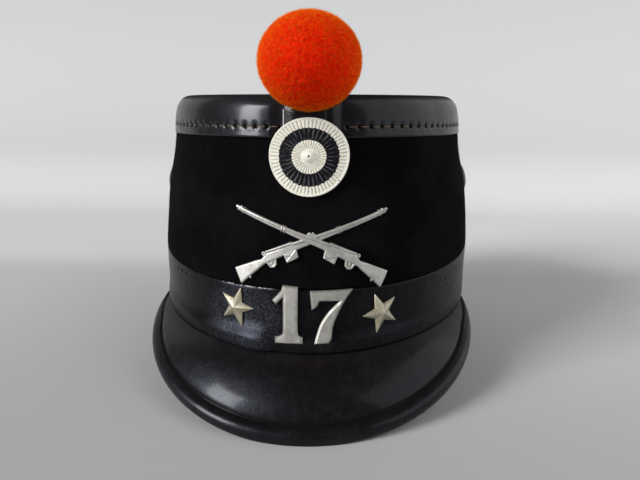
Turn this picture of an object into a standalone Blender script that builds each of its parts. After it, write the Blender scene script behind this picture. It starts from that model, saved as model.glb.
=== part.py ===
"""A felt shako with a leather cap, head band and two peaks, a woollen pompom and cast badges.

The hat is modelled upright, in millimetres, with z = 0 at the lower edge of its head band, the
axis of its rings on Z and its front towards -Y.  At the end every mesh is leaned forward until
the front peak and the neck peak touch the same level surface, moved so that the middle of the
hat's box stands on the origin, and scaled to metres.

A place on the hat's side is given by its way round the side from the middle of the front
("along", positive towards +X), its height, and how far it stands out from the side ("out").
"""

import math
from collections import namedtuple

import bmesh
import bpy
from mathutils import Matrix, Vector

METRES_PER_MM = 0.001
GAP = 0.35                      # space left between two pieces that touch on the real hat

# ---------------------------------------------------------------- the crown's rings
Ring = namedtuple("Ring", "height half_width front back")

SIDE = [                        # outer surface of the side, oval rings from the lower edge up
    Ring(0.0, 86.5, 114.5, 93.5),
    Ring(25.7, 87.0, 109.5, 93.0),
    Ring(28.0, 87.1, 109.3, 92.9),
    Ring(44.0, 85.5, 106.8, 92.0),
    Ring(56.0, 84.3, 104.9, 91.2),
    Ring(66.0, 82.4, 103.1, 90.3),
    Ring(76.0, 80.0, 101.2, 89.2),
    Ring(86.7, 78.6, 99.0, 88.2),
    Ring(98.7, 77.9, 97.8, 87.4),
]
SEGMENTS = 64                   # round the hat
STEP_UP = 1.0                   # steps that measure which way the side faces
STEP_ROUND = 0.01               # radians

# ---------------------------------------------------------------- leather and felt
BAND_HEIGHT = 25.7
BAND_LEATHER = 1.6
BAND_EDGE = 0.5                 # worn rounding of the band's edges

CAP_EDGE = 87.4                 # height of the cap's lower edge
CAP_LEATHER = 1.5
CAP_PROUD = 0.6                 # the cap stands this far out from the felt below it
CAP_SHOULDER = 98.7             # height at which the cap's side turns into its lid
CAP_ROUND = 6.0                 # radius of that turn
LID_LEATHER = 1.8

FELT = 2.4
FELT_TOP = 98.3
FELT_INSIDE_ROWS = (76.0, 44.0)  # heights of the rings on the felt's inner face
FELT_UNDER_BAND = BAND_LEATHER + GAP
FELT_UNDER_CAP = CAP_LEATHER - CAP_PROUD + GAP

# ---------------------------------------------------------------- peaks
Peak = namedtuple("Peak", "middle reach width taper slope side_slope rim columns")

FRONT_PEAK = Peak(middle=-0.8, reach=68.5, width=38.0, taper=1.9, slope=45.0, side_slope=32.0,
                  rim=6.5, columns=40)
NECK_PEAK = Peak(middle=180.0, reach=60.0, width=43.5, taper=2.3, slope=66.0, side_slope=60.0,
                 rim=5.0, columns=28)
PEAK_LEATHER = 2.2
PEAK_CAMBER = 0.09              # rise of the peak's bulge, as a part of its width
PEAK_TIP = 1.5                  # width left at the two tips
PEAK_ROOT = 0.6                 # the peak's upper side starts this far in under the band
PEAK_PANEL = (0.0, 0.3, 0.6, 0.88)   # rows across the panel, as parts of its width
RIM_SHARE = 0.4                 # the rim's largest part of the peak's width, near the tips
PEAK_RIM = [                    # (part of the rim's width, rise) over the rolled rim
    (0.0, -0.35), (0.18, 0.75), (0.5, 1.1), (0.82, 0.7), (1.0, -0.8), (0.92, -2.3), (0.7, -2.7),
    (0.0, -PEAK_LEATHER),
]
PEAK_FLANGE = 4.2               # how far the peak reaches in under the band and the felt
REST_FLAT = 1.0                 # depth of the flat worn on the rims where the hat rests
LEAN_LIMITS = (-10.0, 10.0)     # degrees, the forward lean that is looked for lies between them
LEAN_HALVINGS = 40

# ---------------------------------------------------------------- badges
BADGE_STRIP = 5.0               # a badge is bent round the hat in strips of this width

COCKADE_CENTRE = (0.9, 79.7)    # along, height
COCKADE_RADIUS = 15.9
COCKADE_PLEATS = 48
COCKADE_PLEAT_DEPTH = 0.45
COCKADE_BACK = (0.8, 3.9)       # stands out this far at its bottom and at its top
COCKADE_BOSS = 3.4              # height of its boss
COCKADE_FRONT = [               # (radius, out, share of the pleats' depth), from the boss outward
    (1.4, 3.1, 0.0), (2.6, 2.0, 0.3), (6.8, 1.9, 1.0), (15.0, 1.4, 1.0),
    (COCKADE_RADIUS, 1.2, 0.0),
]

RIFLES_CENTRE = (1.9, 46.9)     # along, height of the crossing
RIFLE_CROSSING = 35.0           # distance of the crossing from the muzzle
RIFLE_ANGLE = 19.6
RIFLES_TURN = -0.8              # the badge is fixed a little askew
BALL_SIDES = 6
FRONT_RIFLE_LIFT = 0.5          # the rifle in front stands this much prouder
RIFLE_OUTLINES = [              # outline of (from the muzzle, above the barrel's axis), rise, bevel
    ("stock", [(4.5, -1.0), (24.0, -1.2), (40.0, -2.1), (52.0, -3.5), (57.0, -4.2), (64.6, -7.3),
               (70.0, -9.6), (70.9, -2.3), (61.0, -1.7), (57.4, -1.7), (54.5, 0.5), (49.5, 1.1),
               (38.0, 1.4), (23.0, 1.15), (4.5, 1.0)], 1.7, 0.6),
    ("barrel", [(1.0, -0.05), (5.0, -0.05), (5.0, 0.9), (1.0, 0.9)], 1.5, 0.25),
    ("rod", [(1.5, -0.95), (5.0, -0.95), (5.0, -0.3), (1.5, -0.3)], 1.0, 0.2),
    ("front_band", [(3.9, -1.5), (5.2, -1.5), (5.2, 1.5), (3.9, 1.5)], 2.0, 0.3),
    ("middle_band", [(22.3, -1.75), (24.0, -1.75), (24.0, 1.6), (22.3, 1.6)], 2.1, 0.35),
    ("rear_sight", [(32.4, 0.9), (37.6, 0.9), (33.3, 2.7)], 1.5, 0.2),
    ("magazine", [(42.2, -5.4), (47.4, -6.2), (47.6, -2.5), (41.8, -1.8)], 1.7, 0.4),
    ("guard", [(51.9, -5.7), (53.4, -6.6), (54.9, -6.2), (55.8, -3.5), (51.2, -2.8)], 1.3, 0.35),
    ("bolt", [(43.0, 0.3), (54.8, 0.0), (54.8, 1.2), (43.0, 1.9)], 2.1, 0.3),
]
RIFLE_BALLS = [                 # from the muzzle, above the axis, radius, rise
    ("fore_sight", 3.4, 1.35, 0.55, 1.6),
    ("cocking_piece", 55.6, 0.1, 0.95, 1.9),
    ("swivel", 64.9, -7.9, 0.6, 1.2),
]

NUMERAL_CENTRE = (2.6, 15.5)    # along, height
NUMERAL_ONE = [
    (-16.7, 5.8), (-15.0, 4.1), (-12.1, 7.2), (-12.0, -6.6), (-13.2, -8.4), (-15.3, -9.3),
    (-15.3, -12.0), (-3.8, -11.7), (-3.8, -9.1), (-5.1, -8.3), (-6.0, -6.6), (-6.0, 11.8),
    (-12.2, 12.3), (-13.0, 9.6),
]
NUMERAL_SEVEN = [
    (-1.0, 10.2), (-0.3, 2.2), (2.2, 4.2), (2.7, 6.0), (11.4, 5.9), (6.8, 1.5), (3.6, -3.2),
    (2.0, -8.0), (0.9, -11.8), (6.9, -11.6), (8.1, -9.6), (8.4, -4.6), (10.0, -0.7), (13.1, 5.5),
    (16.7, 10.6),
]
NUMERAL_RISE = 2.0
NUMERAL_BEVEL = 0.75

STAR_POINTS = 5
STAR_RADIUS = 8.8
STAR_WAIST = 3.7                # radius of the notches between the points
STAR_RISE = 3.0
STAR_EDGE = 0.7
Star = namedtuple("Star", "name along height turn")
STARS = [
    Star("star_left", -31.3, 16.1, 2.0),
    Star("star_right", 32.7, 14.5, -32.0),
]

VENT_RADIUS = 7.8
VENT_RISE = 2.2
VENT_HEIGHT = 60.0
VENTS = [("vent_left", -133.0), ("vent_right", 139.5)]   # name, along
VENT_SIDES = 20
VENT_PROFILE = [                # (part of the radius, part of the rise), from the edge in
    (1.0, 0.0), (1.0, 0.2), (0.93, 0.45), (0.7, 0.75), (0.4, 0.93),
]

# ---------------------------------------------------------------- pompom and its socket
SOCKET_CENTRE = -0.6            # along
SOCKET_BOTTOM = 92.5
SOCKET_TOP = 97.3
SOCKET_HALF = [                 # (along, out from the cap), from its edge in to its tab
    (15.0, 0.2), (11.2, 1.1), (9.05, 1.2), (8.9, 1.8), (4.5, 2.0),
]
SOCKET_TAB_RISE = 2.0           # of its middle
SLOT_COLUMNS = 11               # corners along the slot's outer side
SLOT_HALF_WIDTH = 4.0
SLOT_LOW = 0.6
SLOT_HIGH = 1.4
STEM_INSET = 0.25               # clearance of the pompom's tongue in the slot

POMPOM_CENTRE = Vector((1.3, -105.0, 116.5))
POMPOM_RADII = Vector((20.2, 20.2, 18.6))
POMPOM_LOCKS = 110
POMPOM_LOCK_DEPTH = 0.9
GOLDEN_ANGLE = math.pi * (3.0 - math.sqrt(5.0))


# ================================================================ places on the side
def side_ring(height):
    """The side's oval at a height; above the last row of SIDE it keeps that row's size."""
    if height >= SIDE[-1].height:
        return SIDE[-1]._replace(height=height)
    for low, high in zip(SIDE, SIDE[1:]):
        if height <= high.height:
            break
    share = (height - low.height) / (high.height - low.height)
    return Ring(*(a + (b - a) * share for a, b in zip(low, high)))


def ring_point(ring, angle, out=0.0):
    """A point of an oval, at an angle in radians from the middle of the front."""
    depth = ring.front if math.cos(angle) > 0.0 else ring.back
    x = (ring.half_width + out) * math.sin(angle)
    y = -(depth + out) * math.cos(angle)
    return Vector((x, y, ring.height))


def ring_outward(ring, angle):
    """The level direction that points straight out of an oval."""
    depth = ring.front if math.cos(angle) > 0.0 else ring.back
    return Vector((math.sin(angle) / ring.half_width, -math.cos(angle) / depth, 0.0)).normalized()


def angle_along(ring, along):
    """The angle reached by walking a distance round the oval from the middle of the front."""
    step = math.copysign(1.0, along)
    angle = 0.0
    left = abs(along)
    while left > 1e-9:
        stride = min(left, 1.0)
        pace = math.hypot(ring.half_width * math.cos(angle), ring.front * math.sin(angle))
        middle = angle + step * stride / pace / 2.0
        pace = math.hypot(ring.half_width * math.cos(middle), ring.front * math.sin(middle))
        angle += step * stride / pace
        left -= stride
    return angle


def on_side(along, height, out):
    """A point that stands out from the side, square to it."""
    here = side_ring(height)
    above = side_ring(height + STEP_UP)
    angle = angle_along(here, along)
    point = ring_point(here, angle)
    round_way = ring_point(here, angle + STEP_ROUND) - ring_point(here, angle - STEP_ROUND)
    up_way = ring_point(above, angle) - point
    return point + round_way.cross(up_way).normalized() * out


# ================================================================ mesh helpers
def bridge(bm, first, second):
    """Quads between two closed rows of vertices."""
    for i in range(len(first)):
        j = (i + 1) % len(first)
        bm.faces.new((first[i], first[j], second[j], second[i]))


def fan(bm, row, centre):
    """Triangles from a closed row of vertices to one point."""
    pole = bm.verts.new(centre)
    for i, vertex in enumerate(row):
        bm.faces.new((vertex, row[(i + 1) % len(row)], pole))


def outward(bm):
    bmesh.ops.recalc_face_normals(bm, faces=bm.faces)
    return bm


def side_row(bm, height, out):
    """One closed row of vertices round the hat."""
    ring = side_ring(height)
    turn = 2.0 * math.pi / SEGMENTS
    return [bm.verts.new(ring_point(ring, i * turn, out)) for i in range(SEGMENTS)]


def shell_round(section):
    """A wall that runs all round the hat; its section is a closed loop of (height, out)."""
    bm = bmesh.new()
    rows = [side_row(bm, height, out) for height, out in section]
    for i, row in enumerate(rows):
        bridge(bm, row, rows[(i + 1) % len(rows)])
    return outward(bm)


def prism(outline, low, high, bevel=0.0):
    """A flat plate with the outline of (x, y) points, its upper edge bevelled."""
    bm = bmesh.new()
    base = bm.faces.new([bm.verts.new((x, y, low)) for x, y in outline])
    lifted = bmesh.ops.extrude_face_region(bm, geom=[base])["geom"]
    top = next(item for item in lifted if isinstance(item, bmesh.types.BMFace))
    for vertex in top.verts:
        vertex.co.z = high - bevel
    if bevel:
        bmesh.ops.inset_region(bm, faces=[top], thickness=bevel, depth=0.0)
        for vertex in top.verts:
            vertex.co.z = high
    return outward(bm)


def bend_round_side(bm, along, height, turn=0.0, lean=0.0):
    """Wraps a flat badge, drawn in (x, y, out), round the side at a place, turned in degrees."""
    bmesh.ops.rotate(bm, verts=bm.verts, cent=(0, 0, 0),
                     matrix=Matrix.Rotation(math.radians(turn), 3, "Z"))
    reach = max(abs(vertex.co.x) for vertex in bm.verts)
    cuts = int(reach / BADGE_STRIP)
    for i in range(-cuts, cuts + 1):
        everything = bm.verts[:] + bm.edges[:] + bm.faces[:]
        bmesh.ops.bisect_plane(bm, geom=everything, dist=1e-5,
                               plane_co=(i * BADGE_STRIP, 0, 0), plane_no=(1, 0, 0))
    bmesh.ops.triangulate(bm, faces=bm.faces)
    for vertex in bm.verts:
        x, y, out = vertex.co
        vertex.co = on_side(along + x, height + y, out + lean * y)
    return outward(bm)


def fuse(parts):
    """One body from closed meshes that run into each other."""
    objects = []
    for bm in parts:
        mesh = bpy.data.meshes.new("part")
        bm.to_mesh(mesh)
        bm.free()
        part = bpy.data.objects.new("part", mesh)
        bpy.context.collection.objects.link(part)
        objects.append(part)
    body = objects[0]
    for part in objects[1:]:
        union = body.modifiers.new("union", "BOOLEAN")
        union.operation = "UNION"
        union.solver = "EXACT"
        union.object = part
    bpy.context.view_layer.update()
    evaluated = body.evaluated_get(bpy.context.evaluated_depsgraph_get())
    bm = bmesh.new()
    bm.from_mesh(evaluated.to_mesh())
    evaluated.to_mesh_clear()
    for part in objects:
        bpy.data.objects.remove(part)
    bmesh.ops.remove_doubles(bm, verts=bm.verts, dist=1e-4)
    return bm


# ================================================================ crown, cap and band
def crown_body():
    """The felt tube, drawn in a little under the band and under the cap."""
    band_top = BAND_HEIGHT + GAP
    cap_edge = CAP_EDGE - GAP
    free_rows = [ring.height for ring in SIDE if band_top < ring.height < cap_edge]
    outer = [(GAP, -FELT_UNDER_BAND), (band_top, -FELT_UNDER_BAND)]
    outer += [(height, 0.0) for height in free_rows]
    outer += [(cap_edge, -FELT_UNDER_CAP), (FELT_TOP, -FELT_UNDER_CAP)]
    inner = [(FELT_TOP, -FELT_UNDER_CAP - FELT)]
    inner += [(height, -FELT) for height in FELT_INSIDE_ROWS]
    inner += [(band_top + FELT, -FELT_UNDER_BAND - FELT), (GAP, -FELT_UNDER_BAND - FELT)]
    return shell_round(outer + inner)


def crown_cap():
    """The leather cap: a short side, a round shoulder and a flat lid, open below."""
    def shoulder(radius, out, steps):
        turns = [math.pi / 2.0 * (i + 1) / steps for i in range(steps)]
        return [(CAP_SHOULDER + radius * math.sin(t), out - radius * (1.0 - math.cos(t)))
                for t in turns]

    inner_out = CAP_PROUD - CAP_LEATHER
    outer = [(CAP_EDGE, CAP_PROUD - BAND_EDGE), (CAP_EDGE + BAND_EDGE, CAP_PROUD),
             (CAP_SHOULDER, CAP_PROUD)]
    outer += shoulder(CAP_ROUND, CAP_PROUD, 4)
    inner = [(CAP_EDGE, inner_out), (CAP_SHOULDER, inner_out)]
    inner += shoulder(CAP_ROUND - LID_LEATHER, inner_out, 2)

    bm = bmesh.new()
    outer_rows = [side_row(bm, height, out) for height, out in outer]
    inner_rows = [side_row(bm, height, out) for height, out in inner]
    for rows in (outer_rows, inner_rows):
        for low, high in zip(rows, rows[1:]):
            bridge(bm, low, high)
        fan(bm, rows[-1], (0.0, 0.0, rows[-1][0].co.z))
    bridge(bm, outer_rows[0], inner_rows[0])
    return outward(bm)


def head_band():
    """The leather strap round the foot of the crown."""
    return shell_round([
        (GAP, -BAND_EDGE), (GAP + BAND_EDGE, 0.0), (BAND_HEIGHT / 2.0, 0.0),
        (BAND_HEIGHT - BAND_EDGE, 0.0), (BAND_HEIGHT, -BAND_EDGE),
        (BAND_HEIGHT, -BAND_LEATHER), (GAP, -BAND_LEATHER),
    ])


# ================================================================ peaks
def peak_section(ring, angle, peak, share):
    """The closed section of a peak at one angle; share is 0 in its middle and 1 at its tips."""
    width = PEAK_TIP + (peak.width - PEAK_TIP) * (1.0 - share ** peak.taper)
    slope = math.radians(peak.slope + (peak.side_slope - peak.slope) * math.sin(angle) ** 2)
    rim = min(peak.rim, RIM_SHARE * width)
    out_way = ring_outward(ring, angle)
    along = out_way * math.cos(slope) - Vector((0, 0, math.sin(slope)))
    upward = out_way * math.sin(slope) + Vector((0, 0, math.cos(slope)))
    root = ring_point(ring, angle, -PEAK_ROOT)
    bead = rim / peak.rim

    def place(way, rise):
        part = way / width
        bulge = PEAK_CAMBER * width * 4.0 * part * (1.0 - part)
        return root + along * way + upward * (bulge + rise)

    panel = width - rim
    upper = [place(panel * part, 0.0) for part in PEAK_PANEL]
    rim_points = [place(panel + part * rim, rise * bead if rise > 0.0 else rise)
                  for part, rise in PEAK_RIM]
    under = [place(panel * part, -PEAK_LEATHER) for part in reversed(PEAK_PANEL[:-1])]
    flange = ring_point(ring, angle, -PEAK_FLANGE)
    return upper + rim_points + under + [flange - Vector((0, 0, PEAK_LEATHER)), flange]


def peak_mesh(peak):
    """A crescent of leather under the band, formed over a last, with a rolled rim."""
    bm = bmesh.new()
    ring = SIDE[0]
    rows = []
    for i in range(peak.columns + 1):
        share = 2.0 * i / peak.columns - 1.0
        angle = math.radians(peak.middle + peak.reach * share)
        section = peak_section(ring, angle, peak, abs(share))
        rows.append([bm.verts.new(point) for point in section])
    for first, second in zip(rows, rows[1:]):
        bridge(bm, first, second)
    bm.faces.new(rows[0])
    bm.faces.new(rows[-1])
    bmesh.ops.triangulate(bm, faces=bm.faces)
    return outward(bm)


# ================================================================ badges
def cockade():
    """A pressed metal rosette with radial pleats and a small boss."""
    columns = 2 * COCKADE_PLEATS
    back = [(COCKADE_RADIUS, 0.0, 0.0), (COCKADE_RADIUS / 2.0, 0.0, 0.0)]
    bottom, top = COCKADE_BACK
    lean = (top - bottom) / (2.0 * COCKADE_RADIUS)
    bm = bmesh.new()

    def place(radius, angle, out):
        along = radius * math.cos(angle)
        height = radius * math.sin(angle)
        stand_off = (bottom + top) / 2.0 + lean * height
        return on_side(COCKADE_CENTRE[0] + along, COCKADE_CENTRE[1] + height, stand_off + out)

    rows = []
    for radius, out, depth in COCKADE_FRONT + back:
        row = []
        for i in range(columns):
            pleat = COCKADE_PLEAT_DEPTH * depth * (i % 2 - 1)
            row.append(bm.verts.new(place(radius, 2.0 * math.pi * i / columns, out + pleat)))
        rows.append(row)
    for first, second in zip(rows, rows[1:]):
        bridge(bm, first, second)
    fan(bm, rows[0], place(0.0, 0.0, COCKADE_BOSS))
    fan(bm, rows[-1], place(0.0, 0.0, 0.0))
    return outward(bm)


def rifle_parts(mirror, lift):
    """The closed parts of one rifle, laid across the badge; lift raises the one in front."""
    parts = [prism(outline, 0.0, rise + lift, bevel)
             for _, outline, rise, bevel in RIFLE_OUTLINES]
    for _, way, above, radius, rise in RIFLE_BALLS:
        turn = 2.0 * math.pi / BALL_SIDES
        outline = [(way + radius * math.cos(i * turn), above + radius * math.sin(i * turn))
                   for i in range(BALL_SIDES)]
        parts.append(prism(outline, 0.0, rise + lift, 0.35 * radius))
    tilt = Matrix.Rotation(math.radians(-RIFLE_ANGLE), 4, "Z")
    to_crossing = Matrix.Translation((-RIFLE_CROSSING, 0.0, 0.0))
    flip = Matrix.Diagonal((-1.0 if mirror else 1.0, 1.0, 1.0, 1.0))
    for bm in parts:
        bmesh.ops.transform(bm, matrix=flip @ tilt @ to_crossing, verts=bm.verts)
        outward(bm)
    return parts


def crossed_rifles():
    """Two rifles crossed, cast as one badge that follows the crown."""
    bm = fuse(rifle_parts(mirror=True, lift=0.0) +
              rifle_parts(mirror=False, lift=FRONT_RIFLE_LIFT))
    for vertex in bm.verts:
        vertex.co.z += GAP
    return bend_round_side(bm, *RIFLES_CENTRE, turn=RIFLES_TURN)


def numeral(outline):
    """A cast numeral with bevelled edges."""
    bm = prism(outline, GAP, GAP + NUMERAL_RISE, NUMERAL_BEVEL)
    return bend_round_side(bm, *NUMERAL_CENTRE)


def star(row):
    """A five-pointed star whose points are ridged like a roof."""
    bm = bmesh.new()
    low = []
    high = []
    for i in range(2 * STAR_POINTS):
        radius = STAR_RADIUS if i % 2 == 0 else STAR_WAIST
        angle = math.pi * i / STAR_POINTS
        x = radius * math.cos(angle)
        y = radius * math.sin(angle)
        low.append(bm.verts.new((x, y, GAP)))
        high.append(bm.verts.new((x, y, GAP + STAR_EDGE)))
    bridge(bm, low, high)
    fan(bm, high, (0.0, 0.0, GAP + STAR_RISE))
    fan(bm, low, (0.0, 0.0, GAP))
    return bend_round_side(bm, row.along, row.height, turn=row.turn)


def vent(centre):
    """A low metal dome over the air hole in the side."""
    bm = bmesh.new()
    rows = []
    for radius_part, rise_part in VENT_PROFILE:
        row = []
        for i in range(VENT_SIDES):
            angle = 2.0 * math.pi * i / VENT_SIDES
            along = centre + VENT_RADIUS * radius_part * math.cos(angle)
            height = VENT_HEIGHT + VENT_RADIUS * radius_part * math.sin(angle)
            row.append(bm.verts.new(on_side(along, height, GAP + VENT_RISE * rise_part)))
        rows.append(row)
    for first, second in zip(rows, rows[1:]):
        bridge(bm, first, second)
    fan(bm, rows[-1], on_side(centre, VENT_HEIGHT, GAP + VENT_RISE))
    fan(bm, rows[0], on_side(centre, VENT_HEIGHT, GAP))
    return outward(bm)


# ================================================================ pompom and its socket
def socket_loops():
    """Outline of the socket and of the slot in it, as matching rows of (along, out)."""
    foot = CAP_PROUD + GAP
    half = [(along, foot + out) for along, out in SOCKET_HALF]
    outer = half + [(0.0, foot + SOCKET_TAB_RISE)] + [(-x, out) for x, out in reversed(half)]
    wide = SOCKET_HALF[0][0]
    back_columns = len(outer) + 5 - SLOT_COLUMNS
    outer += [(part * wide, foot) for part in (-1.0, -0.5, 0.0, 0.5, 1.0)]

    def slot_side(start, count, out):
        return [(start * (1.0 - 2.0 * i / (count - 1)), out) for i in range(count)]

    upper = slot_side(SLOT_HALF_WIDTH, SLOT_COLUMNS, foot + SLOT_HIGH)
    lower = slot_side(-SLOT_HALF_WIDTH, back_columns, foot + SLOT_LOW)
    return outer, upper + lower


def pompom_socket():
    """A leather sleeve on the front of the cap, with a slot for the pompom's tongue."""
    bm = bmesh.new()
    outer, slot = socket_loops()

    def row(loop, height):
        return [bm.verts.new(on_side(SOCKET_CENTRE + x, height, out)) for x, out in loop]

    outer_rows = [row(outer, SOCKET_BOTTOM), row(outer, SOCKET_TOP)]
    slot_rows = [row(slot, SOCKET_BOTTOM), row(slot, SOCKET_TOP)]
    bridge(bm, *outer_rows)
    bridge(bm, *slot_rows)
    for outer_row, slot_row in zip(outer_rows, slot_rows):
        bridge(bm, outer_row, slot_row)
    bmesh.ops.triangulate(bm, faces=bm.faces)
    return outward(bm)


def pompom_stem():
    """The flat metal tongue that holds the pompom in its socket."""
    foot = CAP_PROUD + GAP
    low = foot + SLOT_LOW + STEM_INSET
    high = foot + SLOT_HIGH - STEM_INSET
    half = SLOT_HALF_WIDTH - 3.0 * STEM_INSET
    bm = bmesh.new()
    rows = []
    for height in (SOCKET_BOTTOM + GAP, SOCKET_TOP + GAP / 2.0):
        corners = [(-half, low), (0.0, low), (half, low), (half, high), (0.0, high), (-half, high)]
        rows.append([bm.verts.new(on_side(SOCKET_CENTRE + x, height, out)) for x, out in corners])
    bridge(bm, *rows)
    bm.faces.new(rows[0])
    bm.faces.new(rows[1])
    return outward(bm)


def clear_of_cap(point):
    """How far a point is outside the cap's rounded edge; negative is inside it."""
    ring = SIDE[-1]
    inset = CAP_PROUD - CAP_ROUND
    depth = ring.front + inset
    share = math.hypot(point.x / (ring.half_width + inset), point.y / depth)
    beside = max((share - 1.0) * depth, 0.0)
    above = point.z - CAP_SHOULDER
    if beside == 0.0:
        return above - CAP_ROUND
    return math.hypot(beside, max(above, 0.0)) - CAP_ROUND


def pressed_radius(direction, radius):
    """The pompom's radius in a direction, shortened where the ball presses on cap and socket."""
    step = 0.1
    floor = SOCKET_TOP + 2.0 * GAP
    while radius > step:
        point = POMPOM_CENTRE + direction * radius
        if clear_of_cap(point) >= GAP and point.z >= floor:
            break
        radius -= step
    return radius


def pompom():
    """A ball of wool whose locks are fused into one head."""
    tips = []
    for i in range(POMPOM_LOCKS):
        height = 1.0 - 2.0 * (i + 0.5) / POMPOM_LOCKS
        level = math.sqrt(1.0 - height * height)
        angle = GOLDEN_ANGLE * i
        tips.append(Vector((level * math.cos(angle), level * math.sin(angle), height)))
    lock_reach = math.sqrt(4.0 / POMPOM_LOCKS)
    bm = bmesh.new()
    bmesh.ops.create_icosphere(bm, subdivisions=4, radius=1.0)
    for vertex in bm.verts:
        direction = vertex.co.normalized()
        to_tip = min((direction - tip).length for tip in tips)
        dent = POMPOM_LOCK_DEPTH * min(to_tip / lock_reach, 1.0) ** 2
        stretched = Vector(a * b for a, b in zip(direction, POMPOM_RADII))
        radius = pressed_radius(stretched.normalized(), stretched.length - dent)
        vertex.co = POMPOM_CENTRE + stretched.normalized() * radius
    return outward(bm)


# ================================================================ standing on its peaks
def lowest(bm, lean):
    """Height of a mesh's lowest vertex when the hat leans forward by an angle."""
    return min(v.co.y * math.sin(lean) + v.co.z * math.cos(lean) for v in bm.verts)


def resting_lean(front, neck):
    """The forward lean, in radians, that brings both peaks down to the same surface."""
    least, most = (math.radians(degrees) for degrees in LEAN_LIMITS)
    for _ in range(LEAN_HALVINGS):
        lean = (least + most) / 2.0
        if lowest(front, lean) < lowest(neck, lean):
            most = lean
        else:
            least = lean
    return lean


def stand_on_surface(pieces):
    """Leans all meshes forward, flattens the rims where they rest and scales to metres."""
    peaks = (pieces["front_peak"], pieces["neck_peak"])
    lean = resting_lean(*peaks)
    surface = lowest(peaks[0], lean) + REST_FLAT
    for bm in pieces.values():
        bmesh.ops.rotate(bm, verts=bm.verts, cent=(0, 0, 0), matrix=Matrix.Rotation(lean, 3, "X"))
    for bm in peaks:
        for vertex in bm.verts:
            vertex.co.z = max(vertex.co.z, surface)
    ends = [[v.co[axis] for bm in pieces.values() for v in bm.verts] for axis in (0, 1)]
    middle = [(min(values) + max(values)) / 2.0 for values in ends]
    move = Vector((-middle[0], -middle[1], -surface))
    print("lean %.2f degrees, moved by %s mm" % (math.degrees(lean), tuple(move)))
    for bm in pieces.values():
        bmesh.ops.translate(bm, verts=bm.verts, vec=move)
        bmesh.ops.scale(bm, verts=bm.verts, vec=(METRES_PER_MM,) * 3)


# ================================================================ materials and objects
Finish = namedtuple("Finish", "colour roughness metallic")

FINISHES = {
    "black_felt": Finish((0.010, 0.010, 0.011), 0.95, 0.0),
    "black_leather": Finish((0.012, 0.012, 0.014), 0.35, 0.0),
    "cream_paint": Finish((0.72, 0.70, 0.58), 0.45, 0.0),
    "white_metal": Finish((0.62, 0.60, 0.55), 0.35, 1.0),
    "dull_steel": Finish((0.35, 0.34, 0.32), 0.5, 1.0),
    "black_paint": Finish((0.015, 0.015, 0.016), 0.4, 0.0),
    "orange_wool": Finish((0.80, 0.10, 0.01), 0.95, 0.0),
}
SMOOTH_BELOW = math.radians(35.0)


def finish_material(object_name, finish_name):
    """A Principled material of its own for each object."""
    finish = FINISHES[finish_name]
    material = bpy.data.materials.new(object_name + "_" + finish_name)
    material.use_nodes = True
    shader = material.node_tree.nodes["Principled BSDF"]
    shader.inputs["Base Color"].default_value = (*finish.colour, 1.0)
    shader.inputs["Roughness"].default_value = finish.roughness
    shader.inputs["Metallic"].default_value = finish.metallic
    return material


def add_object(name, bm, finish_name):
    mesh = bpy.data.meshes.new(name)
    bm.to_mesh(mesh)
    bm.free()
    mesh.shade_smooth()
    mesh.set_sharp_from_angle(angle=SMOOTH_BELOW)
    mesh.materials.append(finish_material(name, finish_name))
    bpy.context.collection.objects.link(bpy.data.objects.new(name, mesh))


def build():
    for thing in list(bpy.data.objects):
        bpy.data.objects.remove(thing, do_unlink=True)
    pieces = {
        "crown_body": crown_body(),
        "crown_cap": crown_cap(),
        "head_band": head_band(),
        "front_peak": peak_mesh(FRONT_PEAK),
        "neck_peak": peak_mesh(NECK_PEAK),
        "pompom_socket": pompom_socket(),
        "pompom_stem": pompom_stem(),
        "pompom": pompom(),
        "cockade": cockade(),
        "crossed_rifles": crossed_rifles(),
        "numeral_one": numeral(NUMERAL_ONE),
        "numeral_seven": numeral(NUMERAL_SEVEN),
    }
    for row in STARS:
        pieces[row.name] = star(row)
    for name, along in VENTS:
        pieces[name] = vent(along)
    finishes = {
        "crown_body": "black_felt",
        "pompom": "orange_wool",
        "pompom_stem": "dull_steel",
        "cockade": "cream_paint",
        "crossed_rifles": "white_metal",
        "numeral_one": "white_metal",
        "numeral_seven": "white_metal",
        "star_left": "white_metal",
        "star_right": "white_metal",
        "vent_left": "black_paint",
        "vent_right": "black_paint",
    }
    stand_on_surface(pieces)
    for name, bm in pieces.items():
        add_object(name, bm, finishes.get(name, "black_leather"))


build()
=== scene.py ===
# %% [markdown]
# # A shako of black felt and leather
#
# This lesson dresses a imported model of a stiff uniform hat.  The model's solids give every place
# and size, and each cell makes one piece of the real hat again with the surface that it shows: felt,
# lacquered leather, cut wool, pressed and painted metal and worn castings.
#
# The camera comes first, because it decides how much detail a piece needs: one millimetre is 2 or 3
# pixels here.

# %% Load the frame and place the camera
import math

import bmesh
import bpy
import numpy as np
from mathutils import Matrix, Vector


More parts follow.
